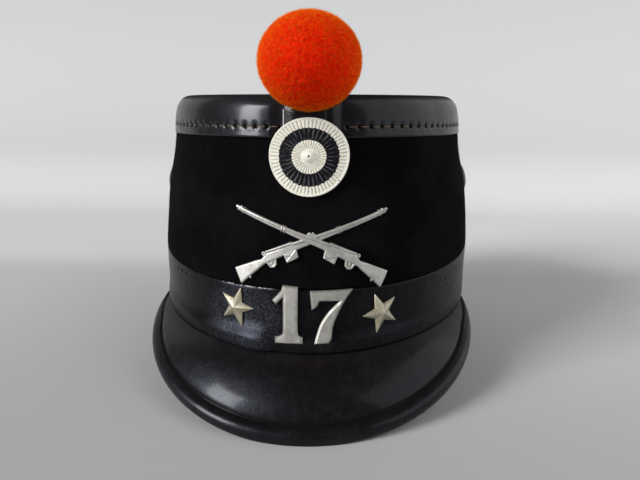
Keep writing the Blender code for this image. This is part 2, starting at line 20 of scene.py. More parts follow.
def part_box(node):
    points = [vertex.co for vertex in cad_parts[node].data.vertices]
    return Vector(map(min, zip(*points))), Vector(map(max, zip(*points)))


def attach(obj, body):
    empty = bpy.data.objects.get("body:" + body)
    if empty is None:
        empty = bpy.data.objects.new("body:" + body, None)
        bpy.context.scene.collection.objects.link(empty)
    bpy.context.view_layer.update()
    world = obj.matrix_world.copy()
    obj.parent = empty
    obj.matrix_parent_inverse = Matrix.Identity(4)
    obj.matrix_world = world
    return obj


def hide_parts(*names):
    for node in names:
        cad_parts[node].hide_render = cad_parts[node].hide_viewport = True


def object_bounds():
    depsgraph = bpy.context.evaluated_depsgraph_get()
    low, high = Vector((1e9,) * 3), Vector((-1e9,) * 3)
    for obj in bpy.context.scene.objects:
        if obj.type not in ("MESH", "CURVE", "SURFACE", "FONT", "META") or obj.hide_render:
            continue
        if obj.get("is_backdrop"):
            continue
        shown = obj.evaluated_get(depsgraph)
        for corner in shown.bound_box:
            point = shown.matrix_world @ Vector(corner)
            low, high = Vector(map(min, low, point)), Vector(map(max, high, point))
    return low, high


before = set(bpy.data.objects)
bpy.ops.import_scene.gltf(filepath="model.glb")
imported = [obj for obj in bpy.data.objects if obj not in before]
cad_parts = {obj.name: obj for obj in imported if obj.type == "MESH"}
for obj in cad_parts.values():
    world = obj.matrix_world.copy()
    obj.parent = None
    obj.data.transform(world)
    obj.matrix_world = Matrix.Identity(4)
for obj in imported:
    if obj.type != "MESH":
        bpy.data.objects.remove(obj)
cad_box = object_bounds()

MM = 0.001
CAMERA_PLACE = Vector((13.8, -304.7, 120.0)) * MM
CAMERA_AIM = Vector((1.8, 0.0, 54.8)) * MM
CAMERA_LENS = 29.25
CAMERA_ROLL = math.radians(0.3)


def linked(name, data):
    """A new object in the scene."""
    piece = bpy.data.objects.new(name, data)
    bpy.context.collection.objects.link(piece)
    return piece


camera = linked("camera", bpy.data.cameras.new("camera"))
camera.data.lens = CAMERA_LENS
camera.data.clip_start = 0.01
aim = (CAMERA_AIM - CAMERA_PLACE).to_track_quat("-Z", "Y").to_matrix().to_4x4()
camera.matrix_world = Matrix.Translation(CAMERA_PLACE) @ aim @ Matrix.Rotation(CAMERA_ROLL, 4, "Z")
bpy.context.scene.camera = camera
print("nodes:", ", ".join(sorted(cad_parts)))

# %% [markdown]
# ## Places on the hat
#
# The crown is a stack of ovals, deeper in front than behind.  Badges, stitches and seams all sit on
# its side, so one set of functions turns "so far round, so high, so far out" into a point.  They
# work on whole arrays at once, which keeps the script quick although it makes many thousands of
# points.  Lengths are millimetres, with height 0 at the lower edge of the head band.

# %% The ovals of the side
SIDE = np.array([               # height, half width, depth in front, depth behind
    (0.0, 86.5, 114.5, 93.5), (25.7, 87.0, 109.5, 93.0), (28.0, 87.1, 109.3, 92.9),
    (44.0, 85.5, 106.8, 92.0), (56.0, 84.3, 104.9, 91.2), (66.0, 82.4, 103.1, 90.3),
    (76.0, 80.0, 101.2, 89.2), (86.7, 78.6, 99.0, 88.2), (98.7, 77.9, 97.8, 87.4),
])
EASE = 3.0                      # the bends between the ovals are rounded over this height
LEAN = math.radians(2.84)       # the hat leans forward by this, standing on its two peaks
LIFT = np.array((0.0, 13.13, 33.84))


def oval(height):
    """Half width, front depth and back depth of the side at some heights."""
    return [sum(np.interp(height + d, SIDE[:, 0], column) for d in (-EASE, 0.0, EASE)) / 3.0
            for column in SIDE[:, 1:].T]


def ring_point(angle, height, out=0.0, scale=1.0):
    """Points at angles round the hat, measured from the middle of the front."""
    angle, height, out, scale = np.broadcast_arrays(angle, height, out, scale)
    half_width, front, back = oval(height)
    depth = np.where(np.cos(angle) > 0.0, front, back)
    x = (half_width + out) * scale * np.sin(angle)
    y = -(depth + out) * scale * np.cos(angle)
    return np.stack([x, y, height.astype(float)], -1)


def to_world(points):
    """From upright hat millimetres to where the leaning hat stands, in metres."""
    x, y, z = np.moveaxis(np.asarray(points, float), -1, 0)
    leaned_y = y * math.cos(LEAN) - z * math.sin(LEAN)
    leaned_z = y * math.sin(LEAN) + z * math.cos(LEAN)
    return (np.stack([x, leaned_y, leaned_z], -1) + LIFT) * MM


band_front = to_world(ring_point(0.0, 0.35))[1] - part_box("head_band")[0][1]
print("band's front is within %.2f mm of the frame's" % abs(band_front / MM))

# %% Distances round the side
ANGLES = np.linspace(-math.pi, math.pi, 1441)
LEVEL_STEP = 4.0
LEVELS = np.arange(-8.0, 116.0, LEVEL_STEP)


def distances_round(height):
    """How far each of ANGLES is round the side from the middle of the front."""
    steps = np.linalg.norm(np.diff(ring_point(ANGLES, height), axis=0), axis=1)
    walked = np.concatenate([[0.0], np.cumsum(steps)])
    return walked - walked[len(ANGLES) // 2]


DISTANCES = [distances_round(level) for level in LEVELS]


def along_at(angle, level):
    """How far round the side angles are, on one of LEVELS."""
    return np.interp(angle, ANGLES, DISTANCES[int((level - LEVELS[0]) / LEVEL_STEP)])


def angle_at(along, height):
    """The angles at some distances round the side."""
    along, height = np.broadcast_arrays(np.asarray(along, float), height)
    level = np.clip((height - LEVELS[0]) / LEVEL_STEP, 0.0, len(LEVELS) - 1.001)
    row = level.astype(int)
    angle = np.empty(along.shape)
    for k in np.unique(row):
        here = row == k
        low = np.interp(along[here], DISTANCES[k], ANGLES)
        high = np.interp(along[here], DISTANCES[k + 1], ANGLES)
        angle[here] = low + (high - low) * (level[here] - k)
    return angle


def eased(value, low, high):
    """0 at low and 1 at high, with a soft start and end."""
    share = np.clip((value - low) / (high - low), 0.0, 1.0)
    return share * share * (3.0 - 2.0 * share)


def hump(value, start, full, last, end):
    """0 up to start, 1 from full to last, and 0 again from end on."""
    return eased(value, start, full) * eased(value, end, last)


def side_normal(angle, height):
    """The direction that points straight out of the side."""
    round_way = ring_point(angle + 0.01, height) - ring_point(angle - 0.01, height)
    up_way = ring_point(angle, height + 1.0) - ring_point(angle, height - 1.0)
    normal = np.cross(round_way, up_way)
    return normal / np.linalg.norm(normal, axis=-1, keepdims=True)


def on_side(along, height, out):
    """Points that stand out from the side, square to it."""
    angle = angle_at(along, height)
    return ring_point(angle, height) + side_normal(angle, height) * np.asarray(out)[..., None]


print("round the band: %.0f mm" % (2.0 * along_at(math.pi, 0.0)))

# %% [markdown]
# ## From grids of points to meshes
#
# Leather and felt walls are grids: one direction runs round the hat, the other along the wall's
# section.  The helper below skins such a grid with quads, closes it where it meets itself, and
# writes a UV map in metres, so that a pattern such as dust on one side of the band can follow the
# surface.

# %% Skin a grid
MAP_LEVEL = 8.0                 # a wall's map counts distances round the hat at this height


def skin(name, points, wrap_rows=False, wrap_columns=False, poles=(), uv=None, caps=False):
    """A mesh over a grid of hat points; poles maps row 0 or -1 to the point that closes it."""
    rows, columns = points.shape[:2]
    i, j = np.meshgrid(np.arange(rows - (not wrap_rows)), np.arange(columns - (not wrap_columns)),
                       indexing="ij")
    corners = [(i, j), (i, j + 1), (i + 1, j + 1), (i + 1, j)]
    faces = np.stack([(a % rows) * columns + b % columns for a, b in corners], -1)
    faces = [tuple(face) for face in faces.reshape(-1, 4).tolist()]
    vertices = [tuple(p) for p in to_world(points).reshape(-1, 3)]
    fans = []
    for row, centre in dict(poles).items():
        ring = [row % rows * columns + b for b in range(columns)]
        faces += [(ring[b], ring[(b + 1) % columns], len(vertices)) for b in range(columns)]
        vertices.append(tuple(to_world(centre)))
        fans += [(row % rows, b) for b in range(columns) for _ in range(3)]
    if caps:
        faces += [tuple(row * columns + b for row in range(rows)) for b in (0, columns - 1)]
    mesh = bpy.data.meshes.new(name)
    mesh.from_pydata(vertices, [], faces)
    if uv is not None:
        laid = np.stack([uv[a, b] for a, b in corners], -2).reshape(-1, 2)
        laid = np.concatenate([laid] + [uv[place][None] for place in fans]) * MM
        layer = mesh.uv_layers.new(name="surface").data
        flat = np.zeros((len(layer), 2))
        flat[:len(laid)] = laid
        layer.foreach_set("uv", flat.ravel())
    return finished(name, mesh)


def finished(name, mesh):
    """An object with its faces turned outward, shaded smooth."""
    bm = bmesh.new()
    bm.from_mesh(mesh)
    bmesh.ops.recalc_face_normals(bm, faces=bm.faces)
    if bm.calc_volume(signed=True) < 0.0:
        bmesh.ops.reverse_faces(bm, faces=bm.faces)
    bm.to_mesh(mesh)
    bm.free()
    mesh.shade_smooth()
    return linked(name, mesh)


def swept(section, columns):
    """Angle, height and distance out of a section's points, swept right round the hat."""
    angle = np.linspace(-math.pi, math.pi, columns, endpoint=False)[None, :]
    heights, outs = np.array(section).T[:, :, None]
    return angle, heights, outs


def wall_map(heights, columns):
    """UV for a wall round the hat: along and height, with one more column and row to close it."""
    heights = np.append(heights, heights[0])[:, None]
    angle = np.linspace(-math.pi, math.pi, columns + 1)[None, :]
    return np.stack(np.broadcast_arrays(along_at(angle, MAP_LEVEL), heights), -1)


def keep(piece, material, slot, *nodes):
    """Gives a finished piece its material and its place in the frame."""
    piece.data.materials.clear()
    piece.data.materials.append(material)
    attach(piece, "root")
    if nodes:
        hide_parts(*nodes)
    print("%-18s %6d faces" % (piece.name, len(piece.data.polygons)))


# %% [markdown]
# ## Materials as sums
#
# A material is a small calculation: noise decides where leather is dull, a mask decides where
# paint has chipped.  Wiring Math nodes by hand hides that, so the class `Value` wraps a socket and
# lets Python's own operators add the nodes.  The same two classes also build the Geometry Nodes
# trees further down.

# %% A tree that is written as Python
class Value:
    """A socket that adds Math nodes to its tree when it is used in a sum."""

    def __init__(self, tree, socket):
        self.tree = tree
        self.socket = socket

    def math(self, operation, *values):
        return self.tree.node("ShaderNodeMath", {"operation": operation}, values)

    def other(self, name):
        """Another output of the same node."""
        return Value(self.tree, self.socket.node.outputs[name])


def operator(operation, reflected):
    if reflected:
        return lambda value, number: value.math(operation, number, value)
    return lambda value, number: value.math(operation, value, number)


for word, operation in (("add", "ADD"), ("sub", "SUBTRACT"), ("mul", "MULTIPLY"),
                        ("truediv", "DIVIDE"), ("pow", "POWER")):
    setattr(Value, "__%s__" % word, operator(operation, False))
    setattr(Value, "__r%s__" % word, operator(operation, True))


class Tree:
    """A node tree with one method that adds any node."""

    def __init__(self, tree):
        self.tree = tree

    def node(self, kind, settings=(), inputs=(), output=0):
        node = self.tree.nodes.new(kind)
        for name, value in dict(settings).items():
            if name == "curve":
                self.shape_curve(node, value)
            else:
                setattr(node, name, value)
        pairs = inputs.items() if isinstance(inputs, dict) else enumerate(inputs)
        for key, value in pairs:
            self.feed(node.inputs[key], value)
        return Value(self, node.outputs[output]) if len(node.outputs) else None

    def feed(self, socket, value):
        """Links a Value to a socket, or sets the socket to a plain number."""
        if isinstance(value, Value):
            self.tree.links.new(value.socket, socket)
        else:
            socket.default_value = value

    def shape_curve(self, node, points):
        """Lays a Float Curve through (place, value) points with straight stretches."""
        curve = node.mapping.curves[0]
        for _ in points[2:]:
            curve.points.new(0.5, 0.5)
        for point, place in zip(curve.points, points):
            point.location = place
            point.handle_type = "VECTOR"
        node.mapping.update()


# %% A material under construction
class Finish(Tree):
    """A material under construction, measured in millimetres on the piece."""

    def __init__(self, name):
        self.material = bpy.data.materials.new(name)
        self.material.use_nodes = True
        super().__init__(self.material.node_tree)
        self.shader = self.tree.nodes["Principled BSDF"]
        self.place = self.node("ShaderNodeTexCoord", output="Object")

    def noise(self, size, detail=2.0, stretch=(1.0, 1.0, 1.0), shift=(0.0, 0.0, 0.0)):
        """Soft noise with features of a size in millimetres, from about 0.3 to 0.7."""
        place = self.node("ShaderNodeMapping", (), {"Vector": self.place, "Scale": stretch,
                                                    "Location": shift})
        return self.node("ShaderNodeTexNoise", (), {"Vector": place, "Scale": 1.0 / (size * MM),
                                                    "Detail": detail, "Roughness": 0.6})

    def cells(self, size):
        """Distance to the nearest of many scattered points, 0 at a point."""
        return self.node("ShaderNodeTexVoronoi", (),
                         {"Vector": self.place, "Scale": 1.0 / (size * MM)}, "Distance")

    def step(self, value, low, high):
        """0 below low, 1 above high, eased between; low may be the larger."""
        return self.node("ShaderNodeMapRange", {"interpolation_type": "SMOOTHSTEP"},
                         [value, low, high, 0.0, 1.0])

    def blots(self, low, high, *noise, **more):
        """1 where a noise is above high, and 0 where it is below low."""
        return self.step(self.noise(*noise, **more), low, high)

    def mix(self, share, *colours):
        first, second = (c if isinstance(c, Value) else colour(*c) for c in colours)
        return self.node("ShaderNodeMix", {"data_type": "RGBA"},
                         {0: share, 6: first, 7: second}, 2)

    def on_surface(self):
        """The piece's own UV map, in millimetres: along and height."""
        uv = self.node("ShaderNodeTexCoord", output="UV")
        x = self.node("ShaderNodeSeparateXYZ", (), [uv])
        return x / MM, x.other("Y") / MM

    def attribute(self, name):
        return self.node("ShaderNodeAttribute", {"attribute_name": name}, (), "Fac")

    def patch(self, along, height, centre, reach):
        """1 in the middle of an oval patch of the surface, 0 outside it."""
        across = (along - centre[0]) / reach[0]
        up = (height - centre[1]) / reach[1]
        return self.step(across * across + up * up, 1.0, 0.1)

    def bump(self, height, depth, below=None):
        """A bump that is depth millimetres high where height is 1."""
        inputs = {"Height": height, "Distance": depth * MM, "Strength": 1.0}
        if below is not None:
            inputs["Normal"] = below
        return self.node("ShaderNodeBump", (), inputs)

    def set(self, **sockets):
        """Sets or links the shader's sockets; Base_Color stands for Base Color."""
        for name, value in sockets.items():
            self.feed(self.shader.inputs[name.replace("_", " ")], value)
        print("%-18s %3d nodes" % (self.material.name, len(self.tree.nodes)))
        return self.material


def colour(red, green, blue):
    return (red, green, blue, 1.0)


def cover_with_grime_and_shade(finish, share, tone=0.004):
    """Covers a share of the surface with a dull dark shader: grime where dust sits, painted shade in
    grooves and corners.
    """
    grime_and_shade = finish.node("ShaderNodeBsdfPrincipled", (),
                        {"Base Color": colour(tone, tone, tone), "Roughness": 0.9,
                         "Specular IOR Level": 0.0})
    clean = Value(finish, finish.shader.outputs["BSDF"])
    both = finish.node("ShaderNodeMixShader", (), [share, clean, grime_and_shade])
    finish.feed(finish.tree.nodes["Material Output"].inputs["Surface"], both)


# %% [markdown]
# ## Felt
#
# The crown's side is stiff wool felt with a fine nap.  It swallows light, so almost all that shows
# is a faint cloudy difference in its blacks and a few lighter fibres.  Fine noise, stretched in two
# directions, stands for the matted fibres; a little sheen gives the soft edge that felt has where
# the light grazes it.

# %% Felt material
def black_felt():
    finish = Finish("black_felt")
    matted = finish.noise(0.9, 4.0)
    lying = finish.noise(0.7, 3.0, (0.25, 0.25, 1.0))
    standing = finish.noise(0.7, 3.0, (1.0, 1.0, 0.25), (0.3, 0.1, 0.2))
    fibre = finish.step(lying, 0.66, 0.74) + finish.step(standing, 0.66, 0.74)
    faded = finish.blots(0.4, 0.65, 26.0, 3.0)
    base = finish.mix(faded, (0.0018, 0.0017, 0.0021), (0.0034, 0.0032, 0.0038))
    base = finish.mix(fibre * 0.4, base, (0.013, 0.013, 0.0155))
    relief = matted * 0.6 + lying * 0.2 + standing * 0.2
    return finish.set(Base_Color=base, Roughness=1.0, Specular_IOR_Level=0.02,
                      Sheen_Weight=0.004, Sheen_Roughness=0.5, Normal=finish.bump(relief, 0.35))


# %% [markdown]
# ## The crown
#
# The felt is one tube, open below and closed by the cap above.  Its section is a loop, up the
# outside and down the inside, which the grid helper turns into a wall with real thickness, so the
# hollow for the head stays open.

# %% Crown
GAP = 0.35                      # pieces keep this far apart
BAND_HEIGHT = 25.7
BAND_LEATHER = 1.6
CAP_EDGE = 87.4
FELT_THICK = 2.4
FELT_WAVE = 0.22                # the side of a hand-blocked hat is slightly uneven
WAVE_HEIGHTS = (30.0, 84.0)     # the waves lie between these heights
WAVE_FADE = 12.0
FELT_TOP = 98.3
UNDER_BAND = BAND_LEATHER + GAP
UNDER_CAP = 1.25
INNER_BENDS = (76.0, 60.0, 44.0)
CROWN_COLUMNS = 360


def felt_wave(angle, height):
    """The side's unevenness, which fades out towards the band and the cap."""
    from_band, from_cap = height - WAVE_HEIGHTS[0], WAVE_HEIGHTS[1] - height
    fade = np.clip(from_band / WAVE_FADE, 0.0, 1.0) * np.clip(from_cap / WAVE_FADE, 0.0, 1.0)
    ripples = np.sin(5.0 * angle + height / 19.0) + np.sin(9.0 * angle - height / 13.0)
    return FELT_WAVE * fade * ripples


def crown():
    band_top = BAND_HEIGHT + GAP
    cap_edge = CAP_EDGE - GAP
    section = [(GAP, -UNDER_BAND), (band_top, -UNDER_BAND), (band_top, -0.3)]
    section += [(height, 0.0) for height in np.linspace(band_top + 0.9, cap_edge - 0.5, 40)]
    section += [(cap_edge, -0.3), (cap_edge, -UNDER_CAP), (FELT_TOP, -UNDER_CAP)]
    section += [(FELT_TOP, -UNDER_CAP - FELT_THICK)]
    section += [(height, -FELT_THICK) for height in INNER_BENDS]
    section += [(height, -UNDER_BAND - FELT_THICK) for height in (band_top + FELT_THICK, GAP)]
    angle, heights, outs = swept(section, CROWN_COLUMNS)
    waved = np.where(outs == 0.0, felt_wave(angle, heights), 0.0)
    return skin("felt_crown", ring_point(angle, heights, outs + waved), True, True)


keep(crown(), black_felt(), "felt", "crown_body")

# %% [markdown]
# ## Lacquered leather
#
# Cap, band and peaks are cowhide with a black lacquer.  Close up it has a fine grain, shallow
# scratches and smudges that make its gloss uneven, and dust in the places that nobody wipes.  Layers
# of noise at different sizes drive the roughness, and one function with a few settings makes the
# leathers.  Peaks and cap still have their lacquer, so they get a coat: a sharp gleam over a soft
# one.  The band has lost it.  Where dust sits, and as painted shade in the peaks' groove and in the
# corner beside the sleeve, a second dull dark shader is mixed in, because a dark colour alone would
# still shine.

# %% Leather material
BLUE_BLACK = colour(0.74, 0.81, 1.0)    # the lacquer's cast in its highlights


def lacquered(name, dull, dust, grain):
    """Black leather: dull is its least roughness, dust the share of grey film, grain in mm."""
    finish = Finish(name)
    weave = finish.noise(0.7, 2.0, (0.4, 0.4, 1.0)) + finish.noise(0.7, 2.0, (1.0, 1.0, 0.35))
    smudges = finish.noise(9.0, 4.0)
    rubbed = finish.blots(0.45, 0.7, 2.2, 3.0, (1.0, 1.0, 0.3))
    scratch = finish.blots(0.68, 0.72, 1.6, 2.0, (0.12, 1.0, 1.0))
    film = finish.step(smudges, 0.48, 0.72) * dust
    specks = finish.blots(0.76, 0.80, 0.7, 1.0)
    base = finish.mix(rubbed, (0.0026, 0.0021, 0.0023), (0.0048, 0.0040, 0.0042))
    base = finish.mix(film, base, (0.020, 0.021, 0.025))
    base = finish.mix(specks * 0.4, base, (0.06, 0.059, 0.055))
    crazed = finish.blots(0.30, 0.70, 0.5, 2.0)
    rough = dull + crazed * 0.10 + finish.step(smudges, 0.35, 0.7) * 0.07 + scratch * 0.08
    relief = finish.cells(0.8) * 0.35 + finish.cells(0.38) * 0.25 + weave * 0.45 - scratch * 0.4
    low = finish.bump(finish.noise(7.0, 2.0), 0.16)
    return finish, base, rough, finish.bump(relief, grain, low)


def peak_leather():
    finish, base, rough, normal = lacquered("peak_leather", 0.30, 0.10, 0.070)
    from_roll, from_root = finish.on_surface()
    # Painted shade: a dull dark shader is mixed in along the groove in front of the roll, where the
    # roll shades the leather.
    groove = finish.step(from_roll, -2.6, -1.3) * finish.step(from_roll, 0.7, -0.3)
    cover_with_grime_and_shade(finish, groove * 0.85)
    rough = rough + finish.step(from_root, 9.0, 2.0) * 0.14
    return finish.set(Base_Color=base, Roughness=rough, Normal=normal, Specular_IOR_Level=0.16,
                      Specular_Tint=BLUE_BLACK, Coat_Weight=0.17, Coat_Roughness=0.14)


# %% [markdown]
# ## Peaks
#
# A peak is a crescent of thick leather, pressed over a last: it bulges upward, drops into a narrow
# groove and ends in a rolled rim.  Its section is a short list of points that a Catmull-Rom spline
# rounds off.  The section is swept round the band's edge, and it narrows towards both tips.  The
# sweep also notes how far each point is from the roll and from the root, as its UV map, so that the
# painted shade lies in the groove at every width.

# %% Rounding a section
def spline(points, shares):
    """Points of a Catmull-Rom spline at some shares of every stretch but the first and last."""
    a, b, c, d = (points[k:len(points) - 3 + k, None, :] for k in range(4))
    share = np.asarray(shares)[None, :, None]
    curve = 0.5 * (2 * b + (c - a) * share + (2 * a - 5 * b + 4 * c - d) * share ** 2
                   + (3 * b - a - 3 * c + d) * share ** 3)
    return curve.reshape(-1, points.shape[1])


def closed_curve(points, steps):
    """A rounded loop through points, with some steps between them."""
    return spline(np.array([points[-1], *points, points[0], points[1]]), np.arange(steps) / steps)


def open_curve(points, steps):
    """A rounded run through points, with some steps between them."""
    run = np.array(points)
    padded = np.vstack([2 * run[0] - run[1], run, 2 * run[-1] - run[-2]])
    return [run[0], *spline(padded, np.arange(1, steps + 1) / steps)]


# %% Peaks
PEAKS = {                       # middle and reach in degrees, sizes in millimetres
    "front_peak": dict(middle=-0.8, reach=68.5, width=38.0, taper=1.9, slope=45.0,
                       side_slope=32.0, rim=6.5),
    "neck_peak": dict(middle=180.0, reach=60.0, width=43.5, taper=2.3, slope=66.0,
                      side_slope=60.0, rim=5.0),
}
PEAK_TIP = 1.5
PEAK_ROOT = 0.6
PEAK_FLANGE = 4.2
PEAK_CAMBER = 0.10
PEAK_WAVE = 0.045               # the pressed panel is slightly uneven
PEAK_THICK = 2.2
PEAK_COLUMNS = 240
SECTION_STEPS = 3
PANEL_WAY = (0.0, 0.12, 0.24, 0.36, 0.48, 0.60)
LEAD = 0.206                    # the panel falls into the groove over parts of its own width
ROLL = [                        # (part of the rim's width, rise) into the groove, over the roll
    (-1.23, -0.02), (-0.92, -0.07), (-0.62, -0.23), (-0.38, -0.50), (-0.21, -0.76), (-0.10, -0.82),
    (-0.02, -0.62), (0.10, -0.10), (0.26, 0.55), (0.44, 1.02), (0.62, 1.12), (0.80, 0.72),
    (0.94, -0.10), (1.0, -1.15),
]
ROLL_BELOW = [(0.93, -2.25), (0.7, -2.95), (0.3, -3.1), (-0.3, -2.9), (-0.9, -2.45)]
RIM_SHARE = 0.4                 # near the tips the rim is at most this part of the width
NOWHERE = 99.0                  # a surface place that no mask reaches


# %% A peak's section
def peak_profile(sizes, width):
    """A peak's section of some width: its points (outward, upward) and their surface places."""
    rim = min(sizes["rim"], RIM_SHARE * width)
    bead = rim / sizes["rim"]
    panel = width - rim

    def way(part):
        return panel + part * (rim if part > 0.0 else LEAD * panel)

    upper = [(panel * part, 0.0) for part in PANEL_WAY]
    upper += [(way(part), rise * bead) for part, rise in ROLL]
    under = [(way(part), rise) for part, rise in ROLL_BELOW]
    under += [(panel * part, -PEAK_THICK) for part in reversed(PANEL_WAY)]
    section = closed_curve(upper + under, SECTION_STEPS)[:-SECTION_STEPS]
    places = np.full((len(section) + 2, 2), NOWHERE)
    seen = SECTION_STEPS * (len(upper) - 1)
    places[:seen] = section[:seen, :1] - np.array((panel, 0.0))
    return section, places


def peak_section(sizes, angle, share):
    """A peak's section at one angle, its points and places; share runs from 0 in its middle to 1."""
    width = PEAK_TIP + (sizes["width"] - PEAK_TIP) * (1.0 - share ** sizes["taper"])
    section, places = peak_profile(sizes, width)
    slope = math.radians(sizes["slope"] + (sizes["side_slope"] - sizes["slope"])
                         * math.sin(angle) ** 2)
    half_width, front, back = oval(0.0)
    depth = front if math.cos(angle) > 0.0 else back
    level = np.array((math.sin(angle) / half_width, -math.cos(angle) / depth, 0.0))
    level /= np.linalg.norm(level)
    up = np.array((0.0, 0.0, 1.0))
    down_way = level * math.cos(slope) - up * math.sin(slope)
    up_way = level * math.sin(slope) + up * math.cos(slope)
    part = section[:, :1] / width
    along = width * 3.0 * angle
    wave = np.sin(along / 7.3 + part * 9.0) * np.sin(part * 17.0 - along / 11.0)
    bulge = PEAK_CAMBER * width * 4.0 * part * (1.0 - part) + PEAK_WAVE * (1.0 - share) * wave
    root = ring_point(angle, 0.0, -PEAK_ROOT)
    skin_points = root + down_way * section[:, :1] + up_way * (bulge + section[:, 1:])
    flange = ring_point(angle, 0.0, -PEAK_FLANGE)
    return np.concatenate([skin_points, [flange - up * PEAK_THICK, flange]]), places


def peak(name):
    sizes = PEAKS[name]
    shares = np.linspace(-1.0, 1.0, PEAK_COLUMNS + 1)
    sections = [peak_section(sizes, math.radians(sizes["middle"] + sizes["reach"] * s), abs(s))
                for s in shares]
    points, places = (np.stack(part, 1) for part in zip(*sections))
    places = np.concatenate([places, places[:1]])
    piece = skin(name + "_leather", points, wrap_rows=True, uv=places, caps=True)
    for vertex in piece.data.vertices:
        vertex.co.z = max(vertex.co.z, 0.0)
    return piece


PEAK_LEATHER = peak_leather()
for peak_name in PEAKS:
    keep(peak(peak_name), PEAK_LEATHER, "peak_leather", peak_name)

# %% [markdown]
# ## Head band
#
# The strap round the foot has been handled most: its left front is dusty and rubbed, with pale
# blue-grey specks that are partly dust and partly painted glints of the window's highlight, and its
# upper edge has lost its lacquer along a thin line.  Both follow the strap, so they are read from
# its UV map.  In front its foot bends out over the peak's sewn root, which is a shape and not a
# pattern, because the bend catches the light of the window.

# %% Band's leather
def strap_leather():
    finish, base, rough, normal = lacquered("strap_leather", 0.20, 0.12, 0.095)
    along, height = finish.on_surface()
    threads = finish.noise(0.55, 1.0, (0.5, 0.5, 1.0)) + finish.noise(0.55, 1.0, (1.0, 1.0, 0.45))
    # Partly dust, partly painted glints: pale blue-grey specks in the patch where the window's
    # highlight falls.
    dust = finish.step(threads, 0.92, 1.26) * 0.85 + finish.blots(0.3, 0.7, 4.5, 5.0) * 0.15
    dust_and_glints = finish.patch(along, height, (-29.0, 13.0), (24.0, 17.0)) * dust
    edge = finish.step(height, BAND_HEIGHT - 0.5, BAND_HEIGHT - 0.35)
    edge = edge * finish.step(height, BAND_HEIGHT - 0.05, BAND_HEIGHT - 0.15)
    edge = edge * finish.blots(0.45, 0.55, 1.8, 2.0)
    rubbed_edge = edge * finish.patch(along, height, (-27.0, BAND_HEIGHT), (15.0, 6.0))
    base = finish.mix(dust_and_glints * 0.8, base, (0.034, 0.036, 0.046))
    base = finish.mix(rubbed_edge, base, (0.34, 0.33, 0.31))
    return finish.set(Base_Color=base, Roughness=rough + dust_and_glints * 0.10, Normal=normal,
                      Specular_IOR_Level=0.125, Specular_Tint=BLUE_BLACK)


# %% Band
STRAP_COLUMNS = 480
STRAP_EDGE = 0.5                # its cut edges are rounded by this
STRAP_RIPPLE = 0.10
FLARE = 1.6                     # in front the strap's foot bends out by this
FLARE_BULGE = 1.2               # and by this more left of the numerals
BULGE_WAY = (-37.0, -21.0, -19.0, -13.0)    # along: the bulge rises and falls again
FLARE_DROP = 0.5


def flare(angle, height):
    """How far the strap bends out over the peak's sewn root, and how far it hangs down there."""
    along = along_at(angle, 0.0)
    front = eased(np.abs(angle), 1.35, 0.9) * (1.0 - 0.4 * eased(angle, 0.1, 0.5))
    bulge = hump(along, *BULGE_WAY) * eased(height, 12.0, 6.0)
    out = FLARE * eased(height, 9.2, 4.0) * front + FLARE_BULGE * bulge
    return out, -FLARE_DROP * eased(height, 3.0, GAP) * front


def band():
    section = [(GAP, -STRAP_EDGE), (GAP + 0.15, -0.15), (GAP + STRAP_EDGE, 0.0)]
    section += [(height, 0.0) for height in np.linspace(GAP + 1.0, 7.2, 12)]
    section += [(height, 0.0) for height in np.linspace(8.0, BAND_HEIGHT - 1.2, 11)]
    section += [(BAND_HEIGHT - STRAP_EDGE, 0.0), (BAND_HEIGHT - 0.15, -0.15),
                (BAND_HEIGHT, -STRAP_EDGE)]
    section += [(height, -BAND_LEATHER) for height in (BAND_HEIGHT, BAND_HEIGHT / 2.0, GAP)]
    angle, heights, outs = swept(section, STRAP_COLUMNS)
    ripple = STRAP_RIPPLE * np.sin(7.0 * angle + heights / 6.0) * (outs == 0.0)
    outward, down = (part * (outs > -BAND_LEATHER) for part in flare(angle, heights))
    points = ring_point(angle, heights + down, outs + ripple + outward)
    return skin("band_leather", points, True, True, uv=wall_map(heights, STRAP_COLUMNS))


keep(band(), strap_leather(), "leather", "head_band")

# %% [markdown]
# ## Cap
#
# The cap is drawn over the top of the felt: a short side, a worn round shoulder and a flat lid.  Its
# edge hangs a little lower at both sides.  In front the leather is pushed out over the sleeve that
# holds the pompom, and it stands off in a shallow fold beside it.  The thread of the seam pulls in a
# small pit at each hole.  All this is added to the grid where it lies, so the leather runs on
# unbroken.

# %% Sizes of the cap and its seam
CAP_PROUD = 0.6
CAP_LEATHER = 1.5
CAP_SHOULDER = 98.7
CAP_ROUND = 6.0
CAP_SAG = 1.4                   # the cap's edge hangs this much lower at the sides
SAG_WAY = (0.3, 1.4, 1.8, 3.1)  # angle: the edge drops, hangs, and rises again
CAP_LEVEL = 96.0                # distances along the cap are counted at this height
CAP_COLUMNS = 1000
WORN_DOWN = 12.7                # the side leans in from the seam on, and turns into the lid
WORN_IN = (5.0, 10.0)           # this far in, in front and at the sides
WORN_POWER = (3.2, 2.3)         # 2 would be an ellipse, more keeps the shoulder fuller
LID_HEIGHT = CAP_SHOULDER + CAP_ROUND
LID_LEATHER = 1.8
LID_BELOW = LID_HEIGHT - LID_LEATHER
LID_DISH = 0.5                  # the lid's middle lies this much lower
LID_SCALES = (0.97, 0.9, 0.75, 0.6, 0.45, 0.3, 0.15, 0.05)
LINING_SCALES = (0.9, 0.5, 0.1)
LID_REACH = 50.0                # the surface map counts on over the lid, up to this at its middle
SWELL_WAY = (-9.8, -5.2, 8.3, 14.9)     # along: the sleeve's swelling rises and falls again
SWELL_RISE = 1.35
FOLD_WAY = (-46.0, -17.0, -16.0, -10.5)     # beside the sleeve the leather stands off a little
FOLD_RISE = 0.9

